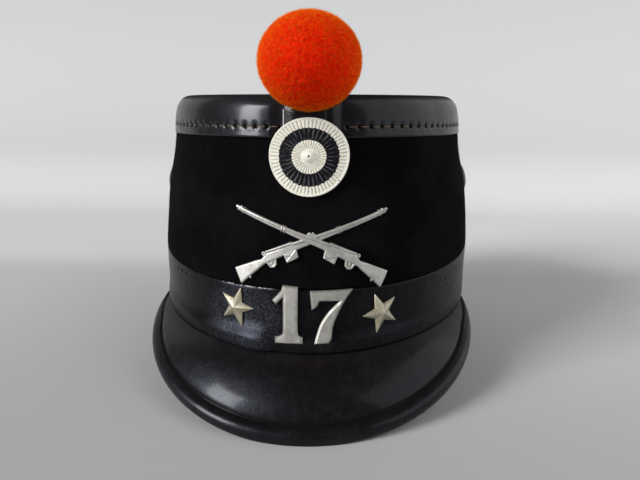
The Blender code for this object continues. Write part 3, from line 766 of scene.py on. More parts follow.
STITCH_HEIGHT = 91.8
STITCH_COUNT = 99
SEAM_START = 16.2               # along; the seam leaves the tab bare
SEAM_END = -11.43
PIT_DEPTH = 0.42                # the thread pulls in a pit at each hole,
PIT_REACH = 0.95
GROOVE_DEPTH = 0.06             # a groove between the holes,
GROOVE_REACH = 0.6
CREASE_DEPTH = 0.08             # and a crease that runs down from each hole
CREASE_REACH = 0.5
CREASE_LENGTH = 2.4
SEAM_DISTANCES = distances_round(STITCH_HEIGHT)
SEAM_ROUND = 2.0 * float(SEAM_DISTANCES[-1])
SEAM_LENGTH = SEAM_ROUND + SEAM_END - SEAM_START
STITCH_PITCH = SEAM_LENGTH / STITCH_COUNT
print("seam of %.0f mm, a stitch every %.2f mm" % (SEAM_LENGTH, STITCH_PITCH))


# %% Moves of the cap's leather
def sag(angle):
    return CAP_SAG * hump(np.abs(angle), *SAG_WAY)


def pucker(angle, height):
    """How far the thread pulls the leather in round each hole of the seam."""
    along = np.interp(angle, ANGLES, SEAM_DISTANCES)
    walked = np.where(along > 0.0, along, along + SEAM_ROUND) - SEAM_START
    sewn = (walked > -1.0) & (walked < SEAM_LENGTH + 1.0)
    off = (walked / STITCH_PITCH - np.round(walked / STITCH_PITCH)) * STITCH_PITCH
    above = height - STITCH_HEIGHT
    pit = PIT_DEPTH * np.exp(-(off / PIT_REACH) ** 2 - (above / PIT_REACH) ** 2)
    groove = GROOVE_DEPTH * np.exp(-(above / GROOVE_REACH) ** 2)
    deep = 0.5 + 0.5 * np.sin(walked * 1.7) * np.sin(walked * 0.61)
    crease = CREASE_DEPTH * deep * np.exp(-(off / CREASE_REACH) ** 2)
    crease = crease * (above < 0.0) * np.exp(above / CREASE_LENGTH)
    return np.where(sewn, pit + groove + crease, 0.0)


def worn(angle, height):
    """How far the worn side has leaned in towards the lid."""
    sideways = np.sin(angle) ** 2
    reach = WORN_IN[0] + (WORN_IN[1] - WORN_IN[0]) * sideways
    power = WORN_POWER[0] + (WORN_POWER[1] - WORN_POWER[0]) * sideways
    up = np.clip((height - (LID_HEIGHT - WORN_DOWN)) / WORN_DOWN, 0.0, 1.0)
    return reach * (1.0 - (1.0 - up ** power) ** (1.0 / power))


def swelling(along, height):
    """How far the sleeve pushes the cap's leather out."""
    rise = SWELL_RISE * hump(along, *SWELL_WAY) + FOLD_RISE * hump(along, *FOLD_WAY)
    return rise * eased(height, 103.5, 99.0)


# %% Cap
def cap_rows(section, moved):
    """The cap's rings up a section, hanging lower at the sides; the outer ones are moved too."""
    angle, heights, outs = swept(section, CAP_COLUMNS)
    if moved:
        push = swelling(along_at(angle, CAP_LEVEL), heights) - pucker(angle, heights)
        outs = outs + (push - worn(angle, heights))
    return ring_point(angle, heights - sag(angle) * eased(heights, 100.0, 94.0), outs)


def lid_rows(height, out, scales):
    """The lid's rings, which get smaller and sink a little towards its middle."""
    angle, _, _ = swept([(height, 0.0)], CAP_COLUMNS)
    scales = np.array(scales)[:, None]
    rows = ring_point(angle, height, out(angle), scales)
    rows[..., 2] -= LID_DISH * (1.0 - scales ** 2)
    return rows


def cap():
    quarter = np.linspace(0.0, math.pi / 2.0, 25)[1:]
    inside = CAP_PROUD - CAP_LEATHER
    side = [(CAP_EDGE, inside + 0.3), (CAP_EDGE, CAP_PROUD - 0.5),
            (CAP_EDGE + 0.15, CAP_PROUD - 0.15), (CAP_EDGE + 0.5, CAP_PROUD)]
    side += [(height, CAP_PROUD)
             for height in np.linspace(CAP_EDGE + 0.9, LID_HEIGHT - WORN_DOWN, 14)]
    side += [(LID_HEIGHT - WORN_DOWN * (1.0 - math.sin(t) ** 0.7), CAP_PROUD) for t in quarter]
    lining = [(CAP_EDGE, inside), (LID_BELOW - CAP_ROUND, inside)]
    lining += [(LID_BELOW - CAP_ROUND * (1.0 - math.sin(t)),
                inside - CAP_ROUND * (1.0 - math.cos(t))) for t in quarter[5::6]]
    lid = lid_rows(LID_HEIGHT, lambda angle: CAP_PROUD - worn(angle, LID_HEIGHT), LID_SCALES)
    lid_lining = lid_rows(LID_BELOW, lambda angle: inside - CAP_ROUND, LINING_SCALES)
    outer = np.concatenate([cap_rows(side, True), lid])
    points = np.concatenate([outer[::-1], cap_rows(lining, False), lid_lining])
    centres = {0: (0.0, 0.0, LID_HEIGHT - LID_DISH), -1: (0.0, 0.0, LID_BELOW - LID_DISH)}
    levels = points[:, 0, 2].copy()
    levels[:len(LID_SCALES)] = LID_HEIGHT + LID_REACH * (1.0 - np.array(LID_SCALES[::-1]))
    return skin("cap_leather", points, False, True, centres, wall_map(levels, CAP_COLUMNS))


def cap_leather():
    finish, base, rough, normal = lacquered("cap_leather", 0.30, 0.12, 0.050)
    along, height = finish.on_surface()
    below_seam = finish.step(height, STITCH_HEIGHT + 0.2, STITCH_HEIGHT - 0.8)
    pleat = finish.blots(0.56, 0.66, 0.8, 1.0, (1.0, 1.0, 0.05))
    creased = below_seam * pleat * finish.patch(along, height, (-45.0, 89.5), (30.0, 6.0))
    edge = finish.step(height, CAP_EDGE + 0.7, CAP_EDGE + 0.2)
    lid = finish.step(height, CAP_SHOULDER + 3.2, CAP_SHOULDER + 5.4)
    middle = finish.step(height, CAP_SHOULDER + 8.0, CAP_SHOULDER + 22.0)
    # Painted shade: beside the sleeve a dull dark shader darkens the corner, where the sleeve and
    # the pompom shade the leather; on the lid the same shader is dust.
    corner = finish.step(along, -17.5, -13.5) * finish.step(along, -5.0, -9.0)
    dusted = finish.blots(0.35, 0.65, 14.0, 3.0)
    grime_and_shade = lid * (0.92 - middle * (0.65 - dusted * 0.25)) + corner * (1.0 - lid) * 0.3
    cover_with_grime_and_shade(finish, grime_and_shade, 0.011)
    return finish.set(Base_Color=finish.mix(edge * 0.5, base, (0.018, 0.017, 0.017)),
                      Roughness=rough + edge * 0.15 + lid * 0.2,
                      Normal=finish.bump(creased * -1.0, 0.07, normal),
                      Specular_IOR_Level=0.12, Specular_Tint=BLUE_BLACK,
                      Coat_Weight=0.36, Coat_Roughness=0.18)


keep(cap(), cap_leather(), "leather", "crown_cap")

# %% [markdown]
# ## Sleeve tab
#
# A strap of thinner leather lies on the swelling and disappears under the pompom.  Its cut left edge
# is rubbed pale, the one bright line in this corner of the hat.  The strap is a grid with a rounded
# section; the pale edge is a mask on its UV map.

# %% Tab
TAB_SIDES = (-9.9, 7.5)         # along
TAB_HEIGHTS = (88.6, 98.7)
TAB_THICK = 0.9
TAB_EDGE = 0.8


def tab():
    left, right = TAB_SIDES
    heights = np.linspace(*TAB_HEIGHTS, 24)[:, None]
    across = np.linspace(left, right, 40)
    near_edge = np.minimum(across - left, right - across)
    crown_line = TAB_THICK * np.sqrt(np.clip(near_edge / TAB_EDGE, 0.05, 1.0))
    along = np.concatenate([across, across[::-1]])[None, :]
    rise = np.concatenate([crown_line, np.full(len(across), 0.02)])[None, :]
    along, heights, out = np.broadcast_arrays(
        along, heights, CAP_PROUD + swelling(along, heights) + rise)
    points = on_side(along, heights, out)
    uv = np.stack([along, heights], -1)
    uv = np.concatenate([uv, uv[:, :1]], 1)
    centres = {row: points[row].mean(axis=0) for row in (0, -1)}
    return skin("sleeve_tab", points, False, True, centres, uv)


def tab_leather():
    finish, base, rough, normal = lacquered("tab_leather", 0.38, 0.1, 0.03)
    along, height = finish.on_surface()
    broken = finish.blots(0.36, 0.5, 1.3, 3.0)
    pale = finish.step(along, TAB_SIDES[0] + 0.75, TAB_SIDES[0] + 0.35) * broken
    faint = finish.step(along, TAB_SIDES[1] - 0.5, TAB_SIDES[1] - 0.2) * broken
    flecks = finish.patch(along, height, (-6.9, 97.9), (2.6, 1.4)) * finish.blots(0.52, 0.6, 0.8)
    base = finish.mix(pale * 0.9 + faint * 0.06 + flecks * 0.4, base, (0.42, 0.41, 0.39))
    return finish.set(Base_Color=base, Roughness=rough + pale * 0.2, Normal=normal,
                      Specular_IOR_Level=0.16)


keep(tab(), tab_leather(), "leather", "pompom_socket")

# %% [markdown]
# ## Seam of the cap
#
# A saddle stitch runs round the cap: a tan thread that dips into a hole every 5 mm or so.  Geometry
# Nodes suit it: a line round the cap is resampled to a number of points, and a hole is put on each,
# with a thread between every two.  A number is surer than a length here, because holes and threads
# have to meet the pits in the leather.  The line carries the outward direction as an attribute,
# which the tree reads to stand the holes upright.

# %% Helpers for Geometry Nodes
def guide_line(name, along, height, out):
    """Points on the side joined by edges, with their outward direction stored."""
    angle = angle_at(along, height)
    mesh = bpy.data.meshes.new(name)
    points = to_world(on_side(along, height, out))
    mesh.from_pydata([tuple(p) for p in points], [(i, i + 1) for i in range(len(points) - 1)], [])
    normals = to_world(side_normal(angle, height)) - to_world((0.0, 0.0, 0.0))
    facing = mesh.attributes.new("facing", "FLOAT_VECTOR", "POINT")
    facing.data.foreach_set("vector", (normals / MM).ravel())
    return linked(name, mesh)


# %% A tree with named inputs
def geometry_tree(name, sizes):
    """An empty Geometry Nodes tree with named inputs, and the values of those inputs."""
    group = bpy.data.node_groups.new(name, "GeometryNodeTree")
    sockets = {}
    group.interface.new_socket("Geometry", in_out="INPUT", socket_type="NodeSocketGeometry")
    for label, (kind, value) in {**sizes, "Material": ("Material", None)}.items():
        socket = group.interface.new_socket(label, in_out="INPUT", socket_type="NodeSocket" + kind)
        if value is not None:
            socket.default_value = value
        sockets[label] = socket.identifier
    group.interface.new_socket("Geometry", in_out="OUTPUT", socket_type="NodeSocketGeometry")
    tree = Tree(group)
    entry = tree.node("NodeGroupInput")
    return tree, {label: entry.other(label) for label in ("Geometry", *sockets)}, sockets


def random(tree, low, high, seed):
    """A random number for each point."""
    return tree.node("FunctionNodeRandomValue", {"data_type": "FLOAT"},
                     {2: low, 3: high, "Seed": seed}, 1)


def upright(tree, way):
    return tree.node("FunctionNodeAlignRotationToVector", {"axis": "Z"}, {"Vector": way})


def stored(tree, geometry, name, value):
    return tree.node("GeometryNodeStoreNamedAttribute", {"data_type": "FLOAT", "domain": "POINT"},
                     {"Geometry": geometry, "Name": name, "Value": value})


def placed(tree, points, shape, rotation, width, length):
    """Puts a shape on points, and turns the instances into real geometry."""
    size = tree.node("ShaderNodeCombineXYZ", (), [width, width, length])
    instances = tree.node("GeometryNodeInstanceOnPoints", (),
                          {"Points": points, "Instance": shape, "Rotation": rotation,
                           "Scale": size})
    return tree.node("GeometryNodeRealizeInstances", (), [instances])


def closed(tree, values, geometry):
    """Gives a tree's geometry its material and hands it out."""
    coloured = tree.node("GeometryNodeSetMaterial", (),
                         {"Geometry": geometry, "Material": values["Material"]})
    tree.node("NodeGroupOutput", (), [coloured])
    print("%-18s %3d nodes" % (tree.tree.name, len(tree.tree.nodes)))


def evaluated_mesh(piece):
    """What a piece's modifiers make of it, as a plain mesh."""
    bpy.context.view_layer.update()
    evaluated = piece.evaluated_get(bpy.context.evaluated_depsgraph_get())
    return bpy.data.meshes.new_from_object(evaluated)


def grow(piece, tree, sockets, settings):
    """Runs a tree on an object and leaves its result as a plain mesh."""
    modifier = piece.modifiers.new("grow", "NODES")
    modifier.node_group = tree.tree
    for label, value in settings.items():
        modifier[sockets[label]] = value
    mesh = evaluated_mesh(piece)
    mesh.name = piece.name
    piece.modifiers.remove(modifier)
    piece.data = mesh
    mesh.shade_smooth()
    return piece


# %% Thread and hole
def thread_material():
    finish = Finish("tan_thread")
    ply = finish.noise(0.35, 2.0)
    base = finish.mix(finish.step(ply, 0.4, 0.6), (0.055, 0.032, 0.020), (0.14, 0.092, 0.062))
    base = finish.mix(finish.blots(0.46, 0.62, 3.0, 3.0) * 0.75, base, (0.022, 0.017, 0.014))
    return finish.set(Base_Color=base, Roughness=0.85, Specular_IOR_Level=0.3,
                      Normal=finish.bump(ply, 0.08))


# Painted shade: each hole is a nearly black bead sunk into the leather, standing for the shade
# inside the punched hole.
def hole_shade_material():
    finish = Finish("punched_hole")
    fray = finish.noise(0.3, 2.0)
    base = finish.mix(fray, (0.0010, 0.0009, 0.0009), (0.0035, 0.003, 0.003))
    return finish.set(Base_Color=base, Roughness=0.95, Specular_IOR_Level=0.05,
                      Normal=finish.bump(fray, 0.05))


# %% Tree for threads and holes
def bead_tree(name, segments, rings, spread, seed, facing):
    """A number of beads, evenly along a line; they lie along it, or face out as pits do."""
    tree, values, sockets = geometry_tree(name, {
        "Count": ("Int", 99), "Width": ("Float", 0.001), "Length": ("Float", 0.003),
        "Seed": ("Int", seed)})
    line = tree.node("GeometryNodeMeshToCurve", (), [values["Geometry"]])
    beads = tree.node("GeometryNodeResampleCurve", {"mode": "COUNT"},
                      {"Curve": line, "Count": values["Count"]})
    centres = tree.node("GeometryNodeCurveToPoints", {"mode": "EVALUATED"}, [beads])
    bead = tree.node("GeometryNodeMeshUVSphere", (),
                     {"Segments": segments, "Rings": rings, "Radius": 0.5})
    way = centres.other("Tangent")
    if facing:
        way = tree.node("GeometryNodeInputNamedAttribute", {"data_type": "FLOAT_VECTOR"},
                        {"Name": "facing"})
    width = values["Width"] * random(tree, *spread, values["Seed"])
    closed(tree, values,
           placed(tree, centres, bead, upright(tree, way), width, values["Length"]))
    return tree, sockets


THREADS = (bead_tree("stitches", 8, 7, (0.85, 1.12), 1, False), thread_material(), "wool")
HOLES = (bead_tree("holes", 10, 5, (0.8, 1.15), 2, True), hole_shade_material(), "leather")


# %% Sew the cap
def stitched(name, along, height, out, kind, count, width, length):
    """Puts a number of threads or holes along a line on the side."""
    tree, material, slot = kind
    line = guide_line(name, along, np.broadcast_to(height, len(along)),
                      np.broadcast_to(out, len(along)))
    piece = grow(line, *tree, {"Count": count, "Width": width * MM, "Length": length * MM,
                               "Material": material})
    keep(piece, material, slot)


def sew(name, inset, out, *kind_and_sizes):
    """Sews right round the cap; inset moves both ends of the line inward."""
    walked = np.linspace(SEAM_START + inset, SEAM_ROUND + SEAM_END - inset, 700)
    along = np.where(walked > SEAM_ROUND / 2.0, walked - SEAM_ROUND, walked)
    height = STITCH_HEIGHT - sag(angle_at(along, STITCH_HEIGHT))
    out = CAP_PROUD + swelling(along, STITCH_HEIGHT) + out
    stitched(name, along, height, out, *kind_and_sizes)


# name, inset, out, kind, count, width, length
sew("cap_seam_holes", 0.0, -0.30, HOLES, STITCH_COUNT + 1, 2.1, 0.35)
sew("cap_seam_thread", STITCH_PITCH / 2.0, -0.10, THREADS, STITCH_COUNT, 0.60, 3.9)

# %% Old holes in the band
BAND_HOLES = [                  # name, first and last place along, height
    ("band_holes_right", 67.6, 77.6, 20.1),
    ("band_holes_left", -79.0, -68.6, 22.5),
]
for hole_name, first, last, hole_height in BAND_HOLES:
    stitched(hole_name, np.linspace(first, last, 24), hole_height, 0.0, HOLES, 3, 1.25, 0.2)

# %% [markdown]
# ## Pompom
#
# A wool pompom is a ball of yarn ends, trimmed round with scissors and brushed.  From near it is a
# skin of small soft tufts, and at its outline light shines through loose fibres.  Modelling every
# yarn makes a hedgehog, so a finely divided ball is pushed in and out by noise for the tufts, and
# Geometry Nodes add many thousands of short, thin hairs.  Light scatters far into the wool, which
# the material's subsurface settings stand for; its colour adds painted shade between the tufts and
# painted light in the tips of the hairs.

# %% Pompom's core
POMPOM_CENTRE = np.array((1.3, -105.0, 116.5))
POMPOM_RADII = np.array((20.2, 20.2, 18.6))
FUZZ = 0.55                     # the ball of tufts is this much smaller than the solid
SLEEVE_TOP = 97.3
PRESS_STEP = 0.25               # where the ball meets the cap it is pressed in by such steps
PRESS_STEPS = 60


def over_cap(points):
    """How far points are outside the cap's rounded edge."""
    half_width, front, _ = oval(CAP_SHOULDER)
    inset = CAP_PROUD - CAP_ROUND
    depth = front + inset
    share = np.hypot(points[:, 0] / (half_width + inset), points[:, 1] / depth)
    beside = np.maximum((share - 1.0) * depth, 0.0)
    above = points[:, 2] - CAP_SHOULDER
    return np.where(beside == 0.0, above, np.hypot(beside, np.maximum(above, 0.0))) - CAP_ROUND


def from_bmesh(bm, name):
    mesh = bpy.data.meshes.new(name)
    bm.to_mesh(mesh)
    bm.free()
    return mesh


def pompom_core():
    bm = bmesh.new()
    bmesh.ops.create_icosphere(bm, subdivisions=7, radius=1.0)
    way = np.array([vertex.co.normalized() for vertex in bm.verts])
    radius = 1.0 / np.linalg.norm(way / (POMPOM_RADII - FUZZ), axis=1)
    for _ in range(PRESS_STEPS):
        points = POMPOM_CENTRE + way * radius[:, None]
        pressed = (over_cap(points) < FUZZ + 0.2) | (points[:, 2] < SLEEVE_TOP + 0.6 + FUZZ)
        radius = np.where(pressed, np.maximum(radius - PRESS_STEP, 1.0), radius)
    for vertex, point in zip(bm.verts, to_world(POMPOM_CENTRE + way * radius[:, None])):
        vertex.co = point
    return finished("pompom_wool", from_bmesh(bm, "pompom_wool"))


# %% Pompom's pile
HAIR_SIZES = {"Density": ("Float", 5e5), "Hair": ("Float", 0.00004), "Length": ("Float", 0.001),
              "Tilt": ("Float", 1.0)}


def hairs(tree, values, surface, fill, vary, seeds):
    """Thin spikes on a surface, each tilted and turned at random; fill is that of their feet."""
    roots = tree.node("GeometryNodeDistributePointsOnFaces", {"distribute_method": "RANDOM"},
                      {"Mesh": surface, "Density": values["Density"], "Seed": values["Seed"]})
    hair = tree.node("GeometryNodeMeshCone", {"fill_type": fill},
                     {"Vertices": 3, "Radius Top": 0.0, "Radius Bottom": 1.0, "Depth": 1.0})
    height = tree.node("ShaderNodeSeparateXYZ", (), [tree.node("GeometryNodeInputPosition")])
    hair = stored(tree, hair, "tip", height.other("Z"))
    tilt = tree.node("FunctionNodeRandomValue", {"data_type": "FLOAT_VECTOR"},
                     {0: (-1.0, -1.0, -3.1), 1: (1.0, 1.0, 3.1), "Seed": seeds[0]})
    share = tree.node("ShaderNodeCombineXYZ", (), [values["Tilt"], values["Tilt"], 1.0])
    tilt = tree.node("ShaderNodeVectorMath", {"operation": "MULTIPLY"}, [tilt, share])
    turned = tree.node("FunctionNodeRotateRotation", {"rotation_space": "LOCAL"},
                       [upright(tree, roots.other("Normal")), tilt])
    length = values["Length"] * random(tree, *vary, seeds[1])
    return placed(tree, roots, hair, turned, values["Hair"], length)


def pile_tree():
    """Tufts pushed out of a ball, and loose hairs that stand on them."""
    tree, values, sockets = geometry_tree("brushed_pile", {
        "Tuft": ("Float", 0.001), "Tuft Depth": ("Float", 0.0003), **HAIR_SIZES,
        "Seed": ("Int", 3)})
    place = tree.node("GeometryNodeInputPosition")
    lump = tree.node("ShaderNodeTexNoise", (),
                     {"Vector": place, "Scale": 1.0 / values["Tuft"], "Detail": 1.5})
    push = tree.node("ShaderNodeVectorMath", {"operation": "SCALE"},
                     {0: tree.node("GeometryNodeInputNormal"),
                      "Scale": (lump - 0.5) * 2.0 * values["Tuft Depth"]})
    tufted = stored(tree, values["Geometry"], "tuft", lump)
    tufted = tree.node("GeometryNodeSetPosition", (), {"Geometry": tufted, "Offset": push})
    fuzz = hairs(tree, values, tufted, "NONE", (0.4, 1.0), (12, 13))
    joined = tree.node("GeometryNodeJoinGeometry")
    for part in (tufted, fuzz):
        tree.feed(joined.socket.node.inputs[0], part)
    closed(tree, values, joined)
    return tree, sockets


# %% Pompom's wool
def orange_wool():
    """Red-orange wool, with painted shade between the tufts and painted light in the tips of the
    loose hairs.
    """
    finish = Finish("orange_wool")
    high = finish.step(finish.attribute("tuft"), 0.36, 0.62)
    loose = finish.step(finish.attribute("tip"), 0.0, 0.35)
    yarn = finish.noise(0.32, 2.0)
    # Painted shade: the wool is darker where the tufts dip and lighter on their tops.
    base = finish.mix(high * 0.6 + finish.step(yarn, 0.35, 0.65) * 0.4,
                      (0.36, 0.0022, 0.0001), (0.53, 0.0050, 0.0002))
    base = finish.mix(finish.blots(0.4, 0.65, 6.0, 3.0) * 0.35, base, (0.58, 0.0095, 0.0003))
    # Painted light: the hairs get paler towards their tips, for light that shines through the thin
    # fibres.
    base = finish.mix(loose, base, (0.68, 0.028, 0.0004))
    return finish.set(Base_Color=base, Roughness=0.95, Specular_IOR_Level=0.05,
                      Subsurface_Weight=0.6, Subsurface_Radius=(1.0, 0.6, 0.4),
                      Subsurface_Scale=0.0012, Sheen_Weight=0.35, Sheen_Roughness=0.4,
                      Sheen_Tint=colour(1.0, 0.12, 0.002), Normal=finish.bump(yarn, 0.10))


WOOL = orange_wool()
pompom = grow(pompom_core(), *pile_tree(),
              {"Tuft": 1.3 * MM, "Tuft Depth": 0.55 * MM, "Density": 5.5e6, "Hair": 0.045 * MM,
               "Length": 1.15 * MM, "Tilt": 0.7, "Material": WOOL})
keep(pompom, WOOL, "wool", "pompom")

# %% [markdown]
# ## Cockade
#
# The cockade is a disc of thin metal, pressed into radial pleats like a paper rosette and painted
# cream, black and cream.  A rule gives every point of it: the radius and height follow a profile,
# and the pleats follow the angle.  That makes it a good piece for Geometry Nodes: a flat grid
# becomes the disc in one Set Position, and two curves hold the profile.

# %% Cockade as a rule
COCKADE_CENTRE = (0.9, 79.7)    # along, height
COCKADE_RADIUS = 15.65
COCKADE_BACK = (0.8, 3.9)       # stands out this far at its bottom and at its top
PLEATS_OUTSIDE = 60.0
PLEATS_INSIDE = 36.0
PLEAT_DEPTH = 0.42
INNER_START = 0.19              # parts of the radius, where the pleats start and end
OUTER_END = 0.95
BLACK_RING = (0.425, 0.735)     # from and to, as parts of the radius
COCKADE_ROWS = 56
COCKADE_COLUMNS = 720
COCKADE_PROFILE = [             # place in the section, part of the radius, height in mm
    (0.00, 0.00, 3.30), (0.04, 0.05, 3.25), (0.08, 0.11, 2.75), (0.11, 0.155, 1.95),
    (0.14, 0.19, 1.65), (0.30, 0.42, 1.70), (0.50, 0.73, 1.60), (0.68, 0.93, 1.45),
    (0.70, 0.955, 1.40), (0.72, 0.965, 1.60), (0.76, 1.00, 1.40), (0.80, 1.00, 0.20),
    (0.84, 0.97, 0.00), (1.00, 0.00, 0.00),
]
COCKADE_TOP = 4.0               # the curves hold heights as parts of this


# %% Cockade's tree
def cockade_tree():
    tree, values, sockets = geometry_tree("pleated_disc", {
        "Radius": ("Float", 15.9), "Outer Pleats": ("Float", 60.0),
        "Inner Pleats": ("Float", 36.0), "Pleat Depth": ("Float", 0.4),
        "Ring Start": ("Float", 0.42), "Ring End": ("Float", 0.73)})
    grid = tree.node("GeometryNodeMeshGrid", (),
                     {"Size X": 1.0, "Size Y": 1.0, "Vertices X": COCKADE_ROWS,
                      "Vertices Y": COCKADE_COLUMNS + 1})
    flat = tree.node("ShaderNodeSeparateXYZ", (), [tree.node("GeometryNodeInputPosition")])
    place = flat + 0.5
    angle = (flat.other("Y") + 0.5) * (2.0 * math.pi)
    part, rise = (tree.node("ShaderNodeFloatCurve", {"curve": curve}, [1.0, place])
                  for curve in ([(p, radius) for p, radius, _ in COCKADE_PROFILE],
                                [(p, height / COCKADE_TOP) for p, _, height in COCKADE_PROFILE]))

    def between(low, high, soft=0.02):
        """1 where the radius lies between two bounds."""
        first = tree.node("ShaderNodeMapRange", (), [part, low, low + soft, 0.0, 1.0])
        last = tree.node("ShaderNodeMapRange", (), [part, high - soft, high, 1.0, 0.0])
        return first * last

    def ridges(count, sharp):
        """Narrow ridges round the disc, 1 on a ridge."""
        wave = angle.math("COSINE", angle * values[count] * 0.5)
        return wave.math("ABSOLUTE", wave) ** sharp

    front = tree.node("ShaderNodeMapRange", (), [place, 0.74, 0.76, 1.0, 0.0])
    outer = between(values["Ring End"], OUTER_END) * ridges("Outer Pleats", 5.0)
    inner = between(INNER_START, values["Ring Start"]) * ridges("Inner Pleats", 4.0)
    black = between(values["Ring Start"], values["Ring End"])
    ridge = ridges("Inner Pleats", 7.0)
    pleat = (outer * -1.0 + inner * -0.8 + black * (ridge - 0.8)) * front
    reach = part * values["Radius"]
    point = tree.node("ShaderNodeCombineXYZ", (),
                      [reach * angle.math("COSINE", angle), reach * angle.math("SINE", angle),
                       rise * COCKADE_TOP + pleat * values["Pleat Depth"]])
    for label, value in {"part": part, "groove": outer + inner, "ridge": black * ridge,
                         "scallop": ridges("Inner Pleats", 0.6)}.items():
        grid = stored(tree, grid, label, value)
    shaped = tree.node("GeometryNodeSetPosition", (), {"Geometry": grid, "Position": point})
    merged = tree.node("GeometryNodeMergeByDistance", (), {"Geometry": shaped, "Distance": 0.004})
    closed(tree, values, tree.node("GeometryNodeRealizeInstances", (), [merged]))
    return tree, sockets


# %% Cockade's paint
def cockade_paint():
    finish = Finish("cockade_paint")
    part, groove, ridge, scallop = (finish.attribute(name)
                                    for name in ("part", "groove", "ridge", "scallop"))
    wobble = (finish.noise(2.0, 1.0) - 0.5) * 0.02
    edge = part + wobble - groove * 0.012
    black = finish.step(edge + scallop * 0.018, BLACK_RING[0] - 0.004, BLACK_RING[0] + 0.012)
    black = black * finish.step(edge - scallop * 0.018, BLACK_RING[1] + 0.004,
                                BLACK_RING[1] - 0.012)
    fleck = finish.blots(0.4, 0.62, 1.1, 3.0)
    cream = finish.mix(fleck, (0.50, 0.485, 0.41), (0.57, 0.555, 0.48))
    # Painted shade: the cream is darker in the narrow grooves between the pleats.
    cream = finish.mix(finish.step(groove, 0.35, 1.0) * 0.55, cream, (0.27, 0.26, 0.20))
    # Partly wear, partly painted glints: the black ring's ridges are lighter in blots.
    rubbed = finish.step(ridge, 0.55, 0.95) * finish.blots(0.38, 0.62, 3.5, 3.0)
    dark = finish.mix(rubbed * 0.8, (0.0026, 0.0026, 0.0036), (0.105, 0.105, 0.12))
    chip = finish.blots(0.685, 0.70, 1.7, 4.0, shift=(0.013, 0.0, 0.021))
    # Painted shade: the pin hole in the middle is nearly black.
    pin_hole_shade = finish.step(part, 0.030, 0.018)
    base = finish.mix(chip * 0.9, finish.mix(black, cream, dark), (0.06, 0.055, 0.045))
    base = finish.mix(pin_hole_shade, base, (0.01, 0.01, 0.01))
    relief = finish.noise(0.5, 2.0) - chip * 0.8 - pin_hole_shade * 4.0
    return finish.set(Base_Color=base, Roughness=0.45 + chip * 0.3, Specular_IOR_Level=0.2,
                      Normal=finish.bump(relief, 0.03))


# %% Cockade bent to the side
def bend_to_side(mesh, centre, foot, turn=0.0, lean=0.0):
    """Wraps a badge drawn flat, in millimetres, round the side at (along, height)."""
    flat = np.empty(len(mesh.vertices) * 3)
    mesh.vertices.foreach_get("co", flat)
    x, y, out = flat.reshape(-1, 3).T
    turned_x = x * math.cos(turn) - y * math.sin(turn)
    turned_y = x * math.sin(turn) + y * math.cos(turn)
    points = on_side(centre[0] + turned_x, centre[1] + turned_y, foot + out + lean * turned_y)
    mesh.vertices.foreach_set("co", to_world(points).ravel())
    mesh.update()


def cockade(paint):
    holder = linked("cockade_disc", bpy.data.meshes.new("cockade_disc"))
    mesh = grow(holder, *cockade_tree(),
                {"Radius": COCKADE_RADIUS, "Outer Pleats": PLEATS_OUTSIDE,
                 "Inner Pleats": PLEATS_INSIDE, "Pleat Depth": PLEAT_DEPTH,
                 "Ring Start": BLACK_RING[0], "Ring End": BLACK_RING[1], "Material": paint}).data
    bottom, top = COCKADE_BACK
    bend_to_side(mesh, COCKADE_CENTRE, (bottom + top) / 2.0,
                 lean=(top - bottom) / (2.0 * COCKADE_RADIUS))
    bpy.data.objects.remove(holder)
    return finished("cockade_disc", mesh)


COCKADE_PAINT = cockade_paint()
keep(cockade(COCKADE_PAINT), COCKADE_PAINT, "cream_paint", "cockade")

# %% [markdown]
# ## Cast badges
#
# The crossed rifles, numerals and stars are cast in a white metal and worn bright on their high
# edges.  A rifle is laid out flat from plates with round shoulders and thin bars, mirrored for the
# second one, and fused by a voxel remesh at a sixth of a millimetre and a little smoothing: crisp
# parts turn into one soft old casting, which is then bent round the hat.  Stars and numerals keep
# their crisp bevels, and only lose the sharpness of their edges.

# %% White metal
def white_metal(name, bright, dull, spots):
    """Old cast metal: bright and dull are its colours, spots the share of brown tarnish."""
    finish = Finish(name)
    haze = finish.blots(0.36, 0.66, 5.0, 4.0)
    spot = finish.blots(0.60, 0.68, 1.4, 4.0) * spots
    base = finish.mix(spot, finish.mix(haze, bright, dull), (0.16, 0.11, 0.06))
    return finish.set(Base_Color=base, Metallic=0.7 - spot * 0.4,
                      Roughness=0.42 + haze * 0.12 + spot * 0.3,
                      Normal=finish.bump(finish.noise(0.6, 3.0), 0.035))


SILVER = white_metal("cast_silver", (0.48, 0.47, 0.44), (0.34, 0.33, 0.305), 0.25)
NUMERAL_METAL = white_metal("numeral_metal", (0.40, 0.39, 0.36), (0.29, 0.28, 0.25), 0.25)
STAR_METAL = white_metal("star_metal", (0.43, 0.40, 0.305), (0.28, 0.255, 0.175), 0.85)


# %% Solids for a casting
def lift(face, height):
    for vertex in face.verts:
        vertex.co.z = height


def raised(bm, outline, height):
    """An outline raised from the badge's back; returns the face on top."""
    base = bm.faces.new([bm.verts.new((*point, 0.0)) for point in outline])
    lifted = bmesh.ops.extrude_face_region(bm, geom=[base])["geom"]
    top = next(item for item in lifted if isinstance(item, bmesh.types.BMFace))
    lift(top, height)
    return top


def pillow(bm, outline, rise, roundness):
    """A raised outline with rounded shoulders."""
    height = rise - roundness
    top = raised(bm, outline, height)
    for k in range(1, 5):
        before, now = math.pi * (k - 1) / 8.0, math.pi * k / 8.0
        inward = roundness * (math.cos(before) - math.cos(now))
        bmesh.ops.inset_region(bm, faces=[top], thickness=inward)
        lift(top, height + roundness * math.sin(now))


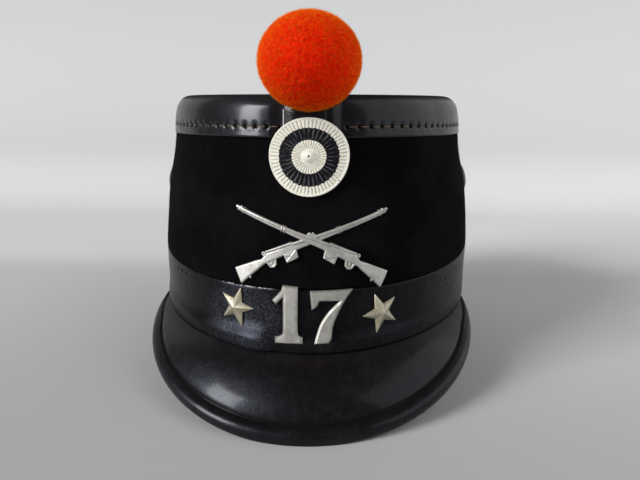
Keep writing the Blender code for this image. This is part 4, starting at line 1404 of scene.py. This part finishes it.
def rod(bm, start, end, radius, level, sides=12):
    """A round bar between two points of the badge."""
    start, end = Vector(start), Vector(end)
    way = (end - start).normalized()
    across = Vector((-way.y, way.x))
    rings = []
    for point, share, part in ((start, 0.0, 0.55), (start, 0.12, 0.9), (start, 0.3, 1.0),
                               (end, -0.3, 1.0), (end, -0.12, 0.9), (end, 0.0, 0.55)):
        middle = point + way * share * radius
        ring = []
        for i in range(sides):
            round_way = 2.0 * math.pi * i / sides
            place = middle + across * (radius * part * math.cos(round_way))
            height = max(level + radius * part * math.sin(round_way), 0.0)
            ring.append(bm.verts.new((place.x, place.y, height)))
        rings.append(ring)
    for first, second in zip(rings, rings[1:]):
        for i in range(sides):
            bm.faces.new((first[i], first[i - 1], second[i - 1], second[i]))
    bm.faces.new(rings[0])
    bm.faces.new(rings[-1][::-1])


# %% One rifle
def bent_rod(bm, points, radius, level, sides=12):
    """Round bars end to end through points."""
    for start, end in zip(points, points[1:]):
        rod(bm, start, end, radius, level, sides)


RIFLE_PLATES = {                # outline of (from the muzzle, above the barrel), rise, roundness
    "stock": ([(4.5, -1.0), (24.0, -1.2), (40.0, -2.1), (52.0, -3.5), (57.0, -4.2), (64.6, -7.3),
               (70.0, -9.6), (70.6, -6.0), (70.9, -2.3), (61.0, -1.7), (57.4, -1.7), (54.5, 0.1),
               (49.5, 0.4), (38.0, 1.1), (23.0, 1.0), (4.5, 0.9)], 1.45, 0.75),
    "rear_sight": ([(32.4, 0.9), (37.6, 0.9), (33.3, 2.7)], 1.45, 0.15),
    "receiver": ([(40.0, -0.9), (53.0, -1.6), (54.8, 0.1), (54.6, 1.0), (43.0, 1.7)], 1.25, 0.3),
    "magazine": ([(42.2, -5.4), (47.4, -6.2), (47.6, -2.5), (41.8, -1.8)], 1.5, 0.3),
    "guard": ([(51.9, -5.7), (53.4, -6.6), (54.9, -6.2), (55.8, -3.5), (51.2, -2.8)], 0.75, 0.15),
}
RIFLE_RODS = {                  # start, end, radius, level of the middle
    "barrel": ((1.0, 0.42), (43.0, 0.62), 0.68, 1.25),
    "bolt": ((43.0, 1.0), (54.6, 0.55), 0.50, 1.45),
    "cleaning_rod": ((1.6, -0.62), (5.0, -0.62), 0.34, 0.75),
    "front_band": ((4.0, 0.0), (5.1, 0.0), 1.50, 0.45),
    "middle_band_1": ((22.3, -0.07), (22.9, -0.07), 1.72, 0.40),
    "middle_band_2": ((23.4, -0.07), (24.0, -0.07), 1.72, 0.40),
    "magazine_rib_1": ((42.6, -5.0), (47.2, -2.8), 0.26, 1.50),
    "magazine_rib_2": ((42.2, -2.4), (47.1, -5.7), 0.26, 1.50),
    "trigger": ((53.0, -3.2), (53.7, -4.9), 0.28, 0.90),
    "fore_sight": ((3.1, 1.20), (3.7, 1.20), 0.50, 1.30),
    "swivel": ((64.6, -7.9), (65.2, -7.9), 0.55, 0.80),
}
GUARD_RIM = ([(51.5, -3.2), (52.1, -5.5), (53.4, -6.2), (54.6, -5.8), (55.4, -3.7)], 0.40, 0.90)
COCKING_RING = (55.6, 0.1, 0.70, 0.32, 1.30)   # from the muzzle, above, radius, wire, level


def rifle(bm):
    """One rifle, lying flat with its muzzle at the origin."""
    for plate in RIFLE_PLATES.values():
        pillow(bm, *plate)
    for bar in RIFLE_RODS.values():
        rod(bm, *bar)
    bent_rod(bm, *GUARD_RIM)
    way, above, radius, wire, level = COCKING_RING
    eighths = [i * math.pi / 4.0 for i in range(8)]
    corners = [(way + radius * math.cos(t), above + radius * math.sin(t)) for t in eighths]
    bent_rod(bm, corners + corners[:1], wire, level, sides=8)
    pillow(bm, corners, 1.0, 0.1)


# %% The badge
RIFLE_CROSSING = 35.0           # the rifles cross this far from their muzzles
RIFLE_TILT = math.radians(19.6)
FRONT_LIFT = 0.5                # the rifle in front lies this much higher
RIFLES_CENTRE = (1.9, 46.9)     # along, height
RIFLES_TURN = math.radians(-0.8)
RIFLE_VOXEL = 0.17              # mm


def rifles():
    """Two rifles crossed and fused, softened like an old casting."""
    badge = bmesh.new()
    place = (Matrix.Rotation(-RIFLE_TILT, 4, "Z")
             @ Matrix.Translation((-RIFLE_CROSSING, 0.0, 0.0)))
    for side, lifted in ((-1.0, 0.0), (1.0, FRONT_LIFT)):
        one = bmesh.new()
        rifle(one)
        bmesh.ops.transform(one, matrix=Matrix.Diagonal((side, 1.0, 1.0, 1.0)) @ place,
                            verts=one.verts)
        for vertex in one.verts:
            vertex.co.z += lifted if vertex.co.z > 0.0 else 0.0
        bmesh.ops.recalc_face_normals(one, faces=one.faces)
        mesh = from_bmesh(one, "one_rifle")
        badge.from_mesh(mesh)
        bpy.data.meshes.remove(mesh)
    piece = linked("rifles_badge", from_bmesh(badge, "rifles_badge"))
    remesh = piece.modifiers.new("remesh", "REMESH")
    remesh.mode = "VOXEL"
    remesh.voxel_size = RIFLE_VOXEL
    smooth = piece.modifiers.new("smooth", "SMOOTH")
    smooth.factor = 0.5
    smooth.iterations = 2
    fused = evaluated_mesh(piece)
    bpy.data.objects.remove(piece)
    bend_to_side(fused, RIFLES_CENTRE, GAP, turn=RIFLES_TURN)
    return finished("rifles_badge", fused)


keep(rifles(), SILVER, "white_metal", "crossed_rifles")

# %% Numerals
NUMERAL_CENTRE = (2.6, 15.5)    # along, height
NUMERAL_RISE = 2.0
NUMERAL_BEVEL = 0.75
NUMERALS = {                    # runs of (across, up); a curve is rounded, corners stay sharp
    "numeral_one": [
        ("corners", [(-16.7, 5.8), (-15.0, 4.1), (-12.1, 7.2)]),
        ("curve", [(-12.1, 7.2), (-12.0, -6.6), (-12.6, -8.2), (-13.6, -9.0), (-15.3, -9.3)]),
        ("corners", [(-15.3, -12.0), (-3.8, -11.7), (-3.8, -9.1)]),
        ("curve", [(-3.8, -9.1), (-5.1, -8.6), (-5.8, -7.8), (-6.0, -6.0)]),
        ("corners", [(-6.0, 11.8), (-12.2, 12.3), (-12.9, 9.9)]),
    ],
    "numeral_seven": [
        ("corners", [(-1.0, 10.2), (-0.3, 2.2), (2.0, 3.8), (2.9, 6.0)]),
        ("curve", [(11.4, 5.9), (6.8, 1.5), (3.6, -3.2), (1.9, -8.0), (0.9, -11.8)]),
        ("curve", [(6.9, -11.6), (8.0, -9.6), (8.5, -4.8), (10.1, -0.4), (13.1, 5.5),
                   (16.7, 10.6)]),
    ],
}
NUMERAL_PINS = {"numeral_one": [(-5.0, -10.4)]}
PIN_RADIUS = 0.5


def numeral_outline(runs):
    outline = []
    for kind, points in runs:
        for point in open_curve(points, 5) if kind == "curve" else np.array(points):
            if not outline or np.linalg.norm(point - outline[-1]) > 0.05:
                outline.append(point)
    return outline


def softened(piece, width, angle):
    """The same piece with a small round on every edge that is sharper than an angle."""
    bevel = piece.modifiers.new("soften", "BEVEL")
    bevel.width = width * MM
    bevel.segments = 2
    bevel.limit_method = "ANGLE"
    bevel.angle_limit = math.radians(angle)
    mesh = evaluated_mesh(piece)
    name = piece.name
    bpy.data.objects.remove(piece)
    return finished(name, mesh)


def numeral(node):
    """A numeral, cut into narrow strips so that it can bend round the band."""
    bm = bmesh.new()
    top = raised(bm, numeral_outline(NUMERALS[node]), NUMERAL_RISE - NUMERAL_BEVEL)
    bmesh.ops.inset_region(bm, faces=[top], thickness=NUMERAL_BEVEL)
    lift(top, NUMERAL_RISE)
    for place in np.arange(-18.0, 19.0, 1.5):
        bmesh.ops.bisect_plane(bm, geom=bm.verts[:] + bm.edges[:] + bm.faces[:], dist=1e-5,
                               plane_co=(place, 0, 0), plane_no=(1, 0, 0))
    for across, up in NUMERAL_PINS.get(node, ()):
        bmesh.ops.create_uvsphere(bm, u_segments=12, v_segments=6, radius=PIN_RADIUS,
                                  matrix=Matrix.Translation((across, up, NUMERAL_RISE)))
    bmesh.ops.triangulate(bm, faces=bm.faces)
    mesh = from_bmesh(bm, node + "_cast")
    bend_to_side(mesh, NUMERAL_CENTRE, GAP)
    return softened(finished(node + "_cast", mesh), 0.13, 20.0)


for numeral_name in NUMERALS:
    keep(numeral(numeral_name), NUMERAL_METAL, "white_metal", numeral_name)


# %% Stars
def star(node):
    """The frame's own star, its loose triangles joined and its ridges softened."""
    bm = bmesh.new()
    bm.from_mesh(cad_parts[node].data)
    bmesh.ops.remove_doubles(bm, verts=bm.verts, dist=1e-6)
    return softened(linked(node + "_cast", from_bmesh(bm, node + "_cast")), 0.14, 18.0)


for star_name in ("star_left", "star_right"):
    keep(star(star_name), STAR_METAL, "white_metal", star_name)

# %% [markdown]
# ## Vents and the pompom's tongue
#
# Two low domes of black-painted metal cover the air holes in the sides.  They are turned shapes, so
# a short profile is swept round.  The pompom's steel tongue hides in its slot; the frame's own solid
# stays, with a plain brushed finish.

# %% Vents
VENTS = {"vent_left": -133.0, "vent_right": 139.5}
VENT_RADIUS = 7.8
VENT_HEIGHT = 60.0
VENT_TOP = 2.2
VENT_PROFILE = [                # part of the radius, height in mm, from the edge to the middle
    (1.0, 0.0), (1.0, 0.35), (0.985, 0.55), (0.94, 0.72), (0.89, 0.62), (0.85, 0.72),
    (0.78, 1.15), (0.66, 1.55), (0.5, 1.88), (0.33, 2.08), (0.15, 2.18),
]


def vent(name, along):
    angle = np.linspace(0.0, 2.0 * math.pi, 64, endpoint=False)
    part, rise = np.array(VENT_PROFILE).T[:, :, None]
    reach = VENT_RADIUS * part
    points = on_side(along + reach * np.cos(angle), VENT_HEIGHT + reach * np.sin(angle),
                     GAP + rise + 0.0 * angle)
    back, front = (on_side(np.array(along), np.array(VENT_HEIGHT), np.array(GAP + out))
                   for out in (0.0, VENT_TOP))
    return skin(name + "_dome", points, False, True, {0: back, -1: front})


def black_paint():
    finish = Finish("black_paint")
    rub = finish.blots(0.60, 0.72, 2.5, 4.0)
    base = finish.mix(rub * 0.6, (0.010, 0.010, 0.011), (0.055, 0.052, 0.048))
    return finish.set(Base_Color=base, Roughness=0.36 + rub * 0.2, Specular_IOR_Level=0.35,
                      Normal=finish.bump(finish.noise(0.8, 2.0), 0.03))


PAINT = black_paint()
for vent_name, vent_along in VENTS.items():
    keep(vent(vent_name, vent_along), PAINT, "black_paint", vent_name)


# %% Tongue
def dull_steel():
    finish = Finish("dull_steel")
    drawn = finish.noise(0.4, 3.0, (1.0, 1.0, 0.1))
    base = finish.mix(finish.step(drawn, 0.35, 0.65), (0.30, 0.29, 0.27), (0.42, 0.41, 0.39))
    return finish.set(Base_Color=base, Metallic=1.0, Roughness=drawn * 0.3 + 0.3,
                      Normal=finish.bump(drawn, 0.02))


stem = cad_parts["pompom_stem"]
stem.data.materials.clear()
stem.data.materials.append(dull_steel())

# %% [markdown]
# ## Nap
#
# Felt is never quite smooth at its outline: short fibres stand off it.  About fifteen thousand fine
# hairs are enough, each a thin three-sided spike, scattered on the outer face of the crown.  The
# function that makes the pompom's hairs makes these too.

# %% Hairs on the felt
def nap_tree():
    tree, values, sockets = geometry_tree("nap", {**HAIR_SIZES, "Seed": ("Int", 5)})
    closed(tree, values, hairs(tree, values, values["Geometry"], "TRIANGLE_FAN", (0.5, 1.3),
                               (21, 22)))
    return tree, sockets


def nap_guide():
    """The crown's bare outer face, which the hairs stand on."""
    heights = np.linspace(BAND_HEIGHT + 1.0, CAP_EDGE - 1.0, 20)
    angle, heights, outs = swept([(height, 0.0) for height in heights[::-1]], 180)
    return skin("felt_nap", ring_point(angle, heights, outs), False, True)


def nap_fibre():
    finish = Finish("nap_fibre")
    strand = finish.blots(0.45, 0.7, 3.0, 2.0)
    base = finish.mix(strand, (0.0020, 0.0020, 0.0024), (0.0075, 0.0074, 0.0088))
    return finish.set(Base_Color=base, Roughness=0.95, Specular_IOR_Level=0.05)


NAP = nap_fibre()
nap = grow(nap_guide(), *nap_tree(), {"Density": 450000.0, "Hair": 0.035 * MM,
                                      "Length": 0.75 * MM, "Tilt": 1.2, "Material": NAP})
keep(nap, NAP, "felt")

# %% [markdown]
# ## Floor and light
#
# The hat stands on a pale, smooth surface that sweeps up behind it.  Black leather shows a room
# more than itself, so the lights are placed by what they mirror: a large far window on the left
# gives the bright patches on the cap and on the peak, and a weaker lamp on the right stands for a
# light wall, which gives a soft gleam.  Two dim lamps stand for the rest of the room.  They light
# the front and the floor, and they are hidden from reflections, so the leather stays dark there.

# %% Stage
FLOOR_FRONT = -1.6
SWEEP_START = 0.42
SWEEP_RADIUS = 0.35
SWEEP_TOP = 1.6
STAGE_HALF = 2.2


def floor_paint():
    """Pale grey paint with painted shade and light: darker in front of the hat, paler round and
    behind it, and on the sweep lighter low down than higher up.
    """
    finish = Finish("pale_floor")
    parts = finish.node("ShaderNodeSeparateXYZ", (), [finish.place])
    beside = finish.step(parts.other("Y"), -0.20, 0.05)
    behind = finish.step(parts.other("Y"), 0.11, 0.19)
    # Painted shade and light: the tones change by place, darker in front of the hat and on the upper
    # sweep, lighter round the hat and low on the sweep.
    swept_up = finish.step(parts.other("Z"), 0.005, 0.10)
    base = finish.mix(beside, (0.35, 0.35, 0.352), (0.46, 0.46, 0.462))
    wall = finish.mix(swept_up, (0.57, 0.57, 0.57), (0.43, 0.43, 0.43))
    return finish.set(Base_Color=finish.mix(behind, base, wall), Roughness=0.75,
                      Specular_IOR_Level=0.2, Normal=finish.bump(finish.noise(1.2, 3.0), 0.03))


def stage():
    section = [(FLOOR_FRONT, 0.0), (SWEEP_START, 0.0)]
    section += [(SWEEP_START + SWEEP_RADIUS * math.sin(t), SWEEP_RADIUS * (1.0 - math.cos(t)))
                for t in np.linspace(0.0, math.pi / 2.0, 24)[1:]]
    section += [(SWEEP_START + SWEEP_RADIUS, SWEEP_TOP)]
    vertices = [(x, y, z) for y, z in section for x in (-STAGE_HALF, STAGE_HALF)]
    faces = [(2 * i, 2 * i + 1, 2 * i + 3, 2 * i + 2) for i in range(len(section) - 1)]
    mesh = bpy.data.meshes.new("floor")
    mesh.from_pydata(vertices, [], faces)
    mesh.shade_smooth()
    mesh.materials.append(floor_paint())
    return linked("floor", mesh)


stage()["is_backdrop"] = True

# %% Lights
LIGHTS = [                      # name, azimuth, elevation, distance, width, height, watts, mirrored
    ("window", -57.0, 22.0, 8.0, 2.90, 4.80, 1000.0, True),
    ("right_wall", 80.0, 27.0, 1.6, 2.2, 1.5, 12.5, True),
    ("room", 28.0, 4.0, 1.8, 1.9, 0.60, 19.0, False),
    ("ceiling", 60.0, 45.0, 2.0, 1.5, 1.5, 6.0, False),
]
LIGHT_AIM = Vector((0.0, -0.03, 0.06))
LIGHT_COLOUR = (0.985, 0.99, 1.0)
WORLD_COLOUR = colour(0.92, 0.95, 1.0)
WORLD_STRENGTH = 0.10


def light(name, azimuth, elevation, distance, width, height, watts, mirrored):
    """A soft window; azimuth 0 is in front of the hat and negative is to its left."""
    azimuth, elevation = math.radians(azimuth), math.radians(elevation)
    way = Vector((math.sin(azimuth) * math.cos(elevation),
                  -math.cos(azimuth) * math.cos(elevation), math.sin(elevation)))
    data = bpy.data.lights.new(name, "AREA")
    data.shape = "RECTANGLE"
    data.size = width
    data.size_y = height
    data.energy = watts
    data.color = LIGHT_COLOUR
    lamp = linked(name, data)
    lamp.location = LIGHT_AIM + way * distance
    lamp.rotation_euler = (-way).to_track_quat("-Z", "Y").to_euler()
    lamp.visible_glossy = mirrored
    print("%-18s %6.1f W" % (name, watts))


for lamp_row in LIGHTS:
    light(*lamp_row)
world = bpy.data.worlds.new("studio")
bpy.context.scene.world = world
world.use_nodes = True
world.node_tree.nodes["Background"].inputs["Color"].default_value = WORLD_COLOUR
world.node_tree.nodes["Background"].inputs["Strength"].default_value = WORLD_STRENGTH
bpy.context.scene.view_settings.view_transform = "Standard"

# %% [markdown]
# ## Finish
#
# The dressed hat has to stay as large as the solids are, so both boxes are written down at the end.

# %% Write the sizes and finish
boxes = {"cad": cad_box, "visual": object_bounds()}
for name, box in boxes.items():
    print(name, [round(float(high - low) / MM, 1) for low, high in zip(*box)])
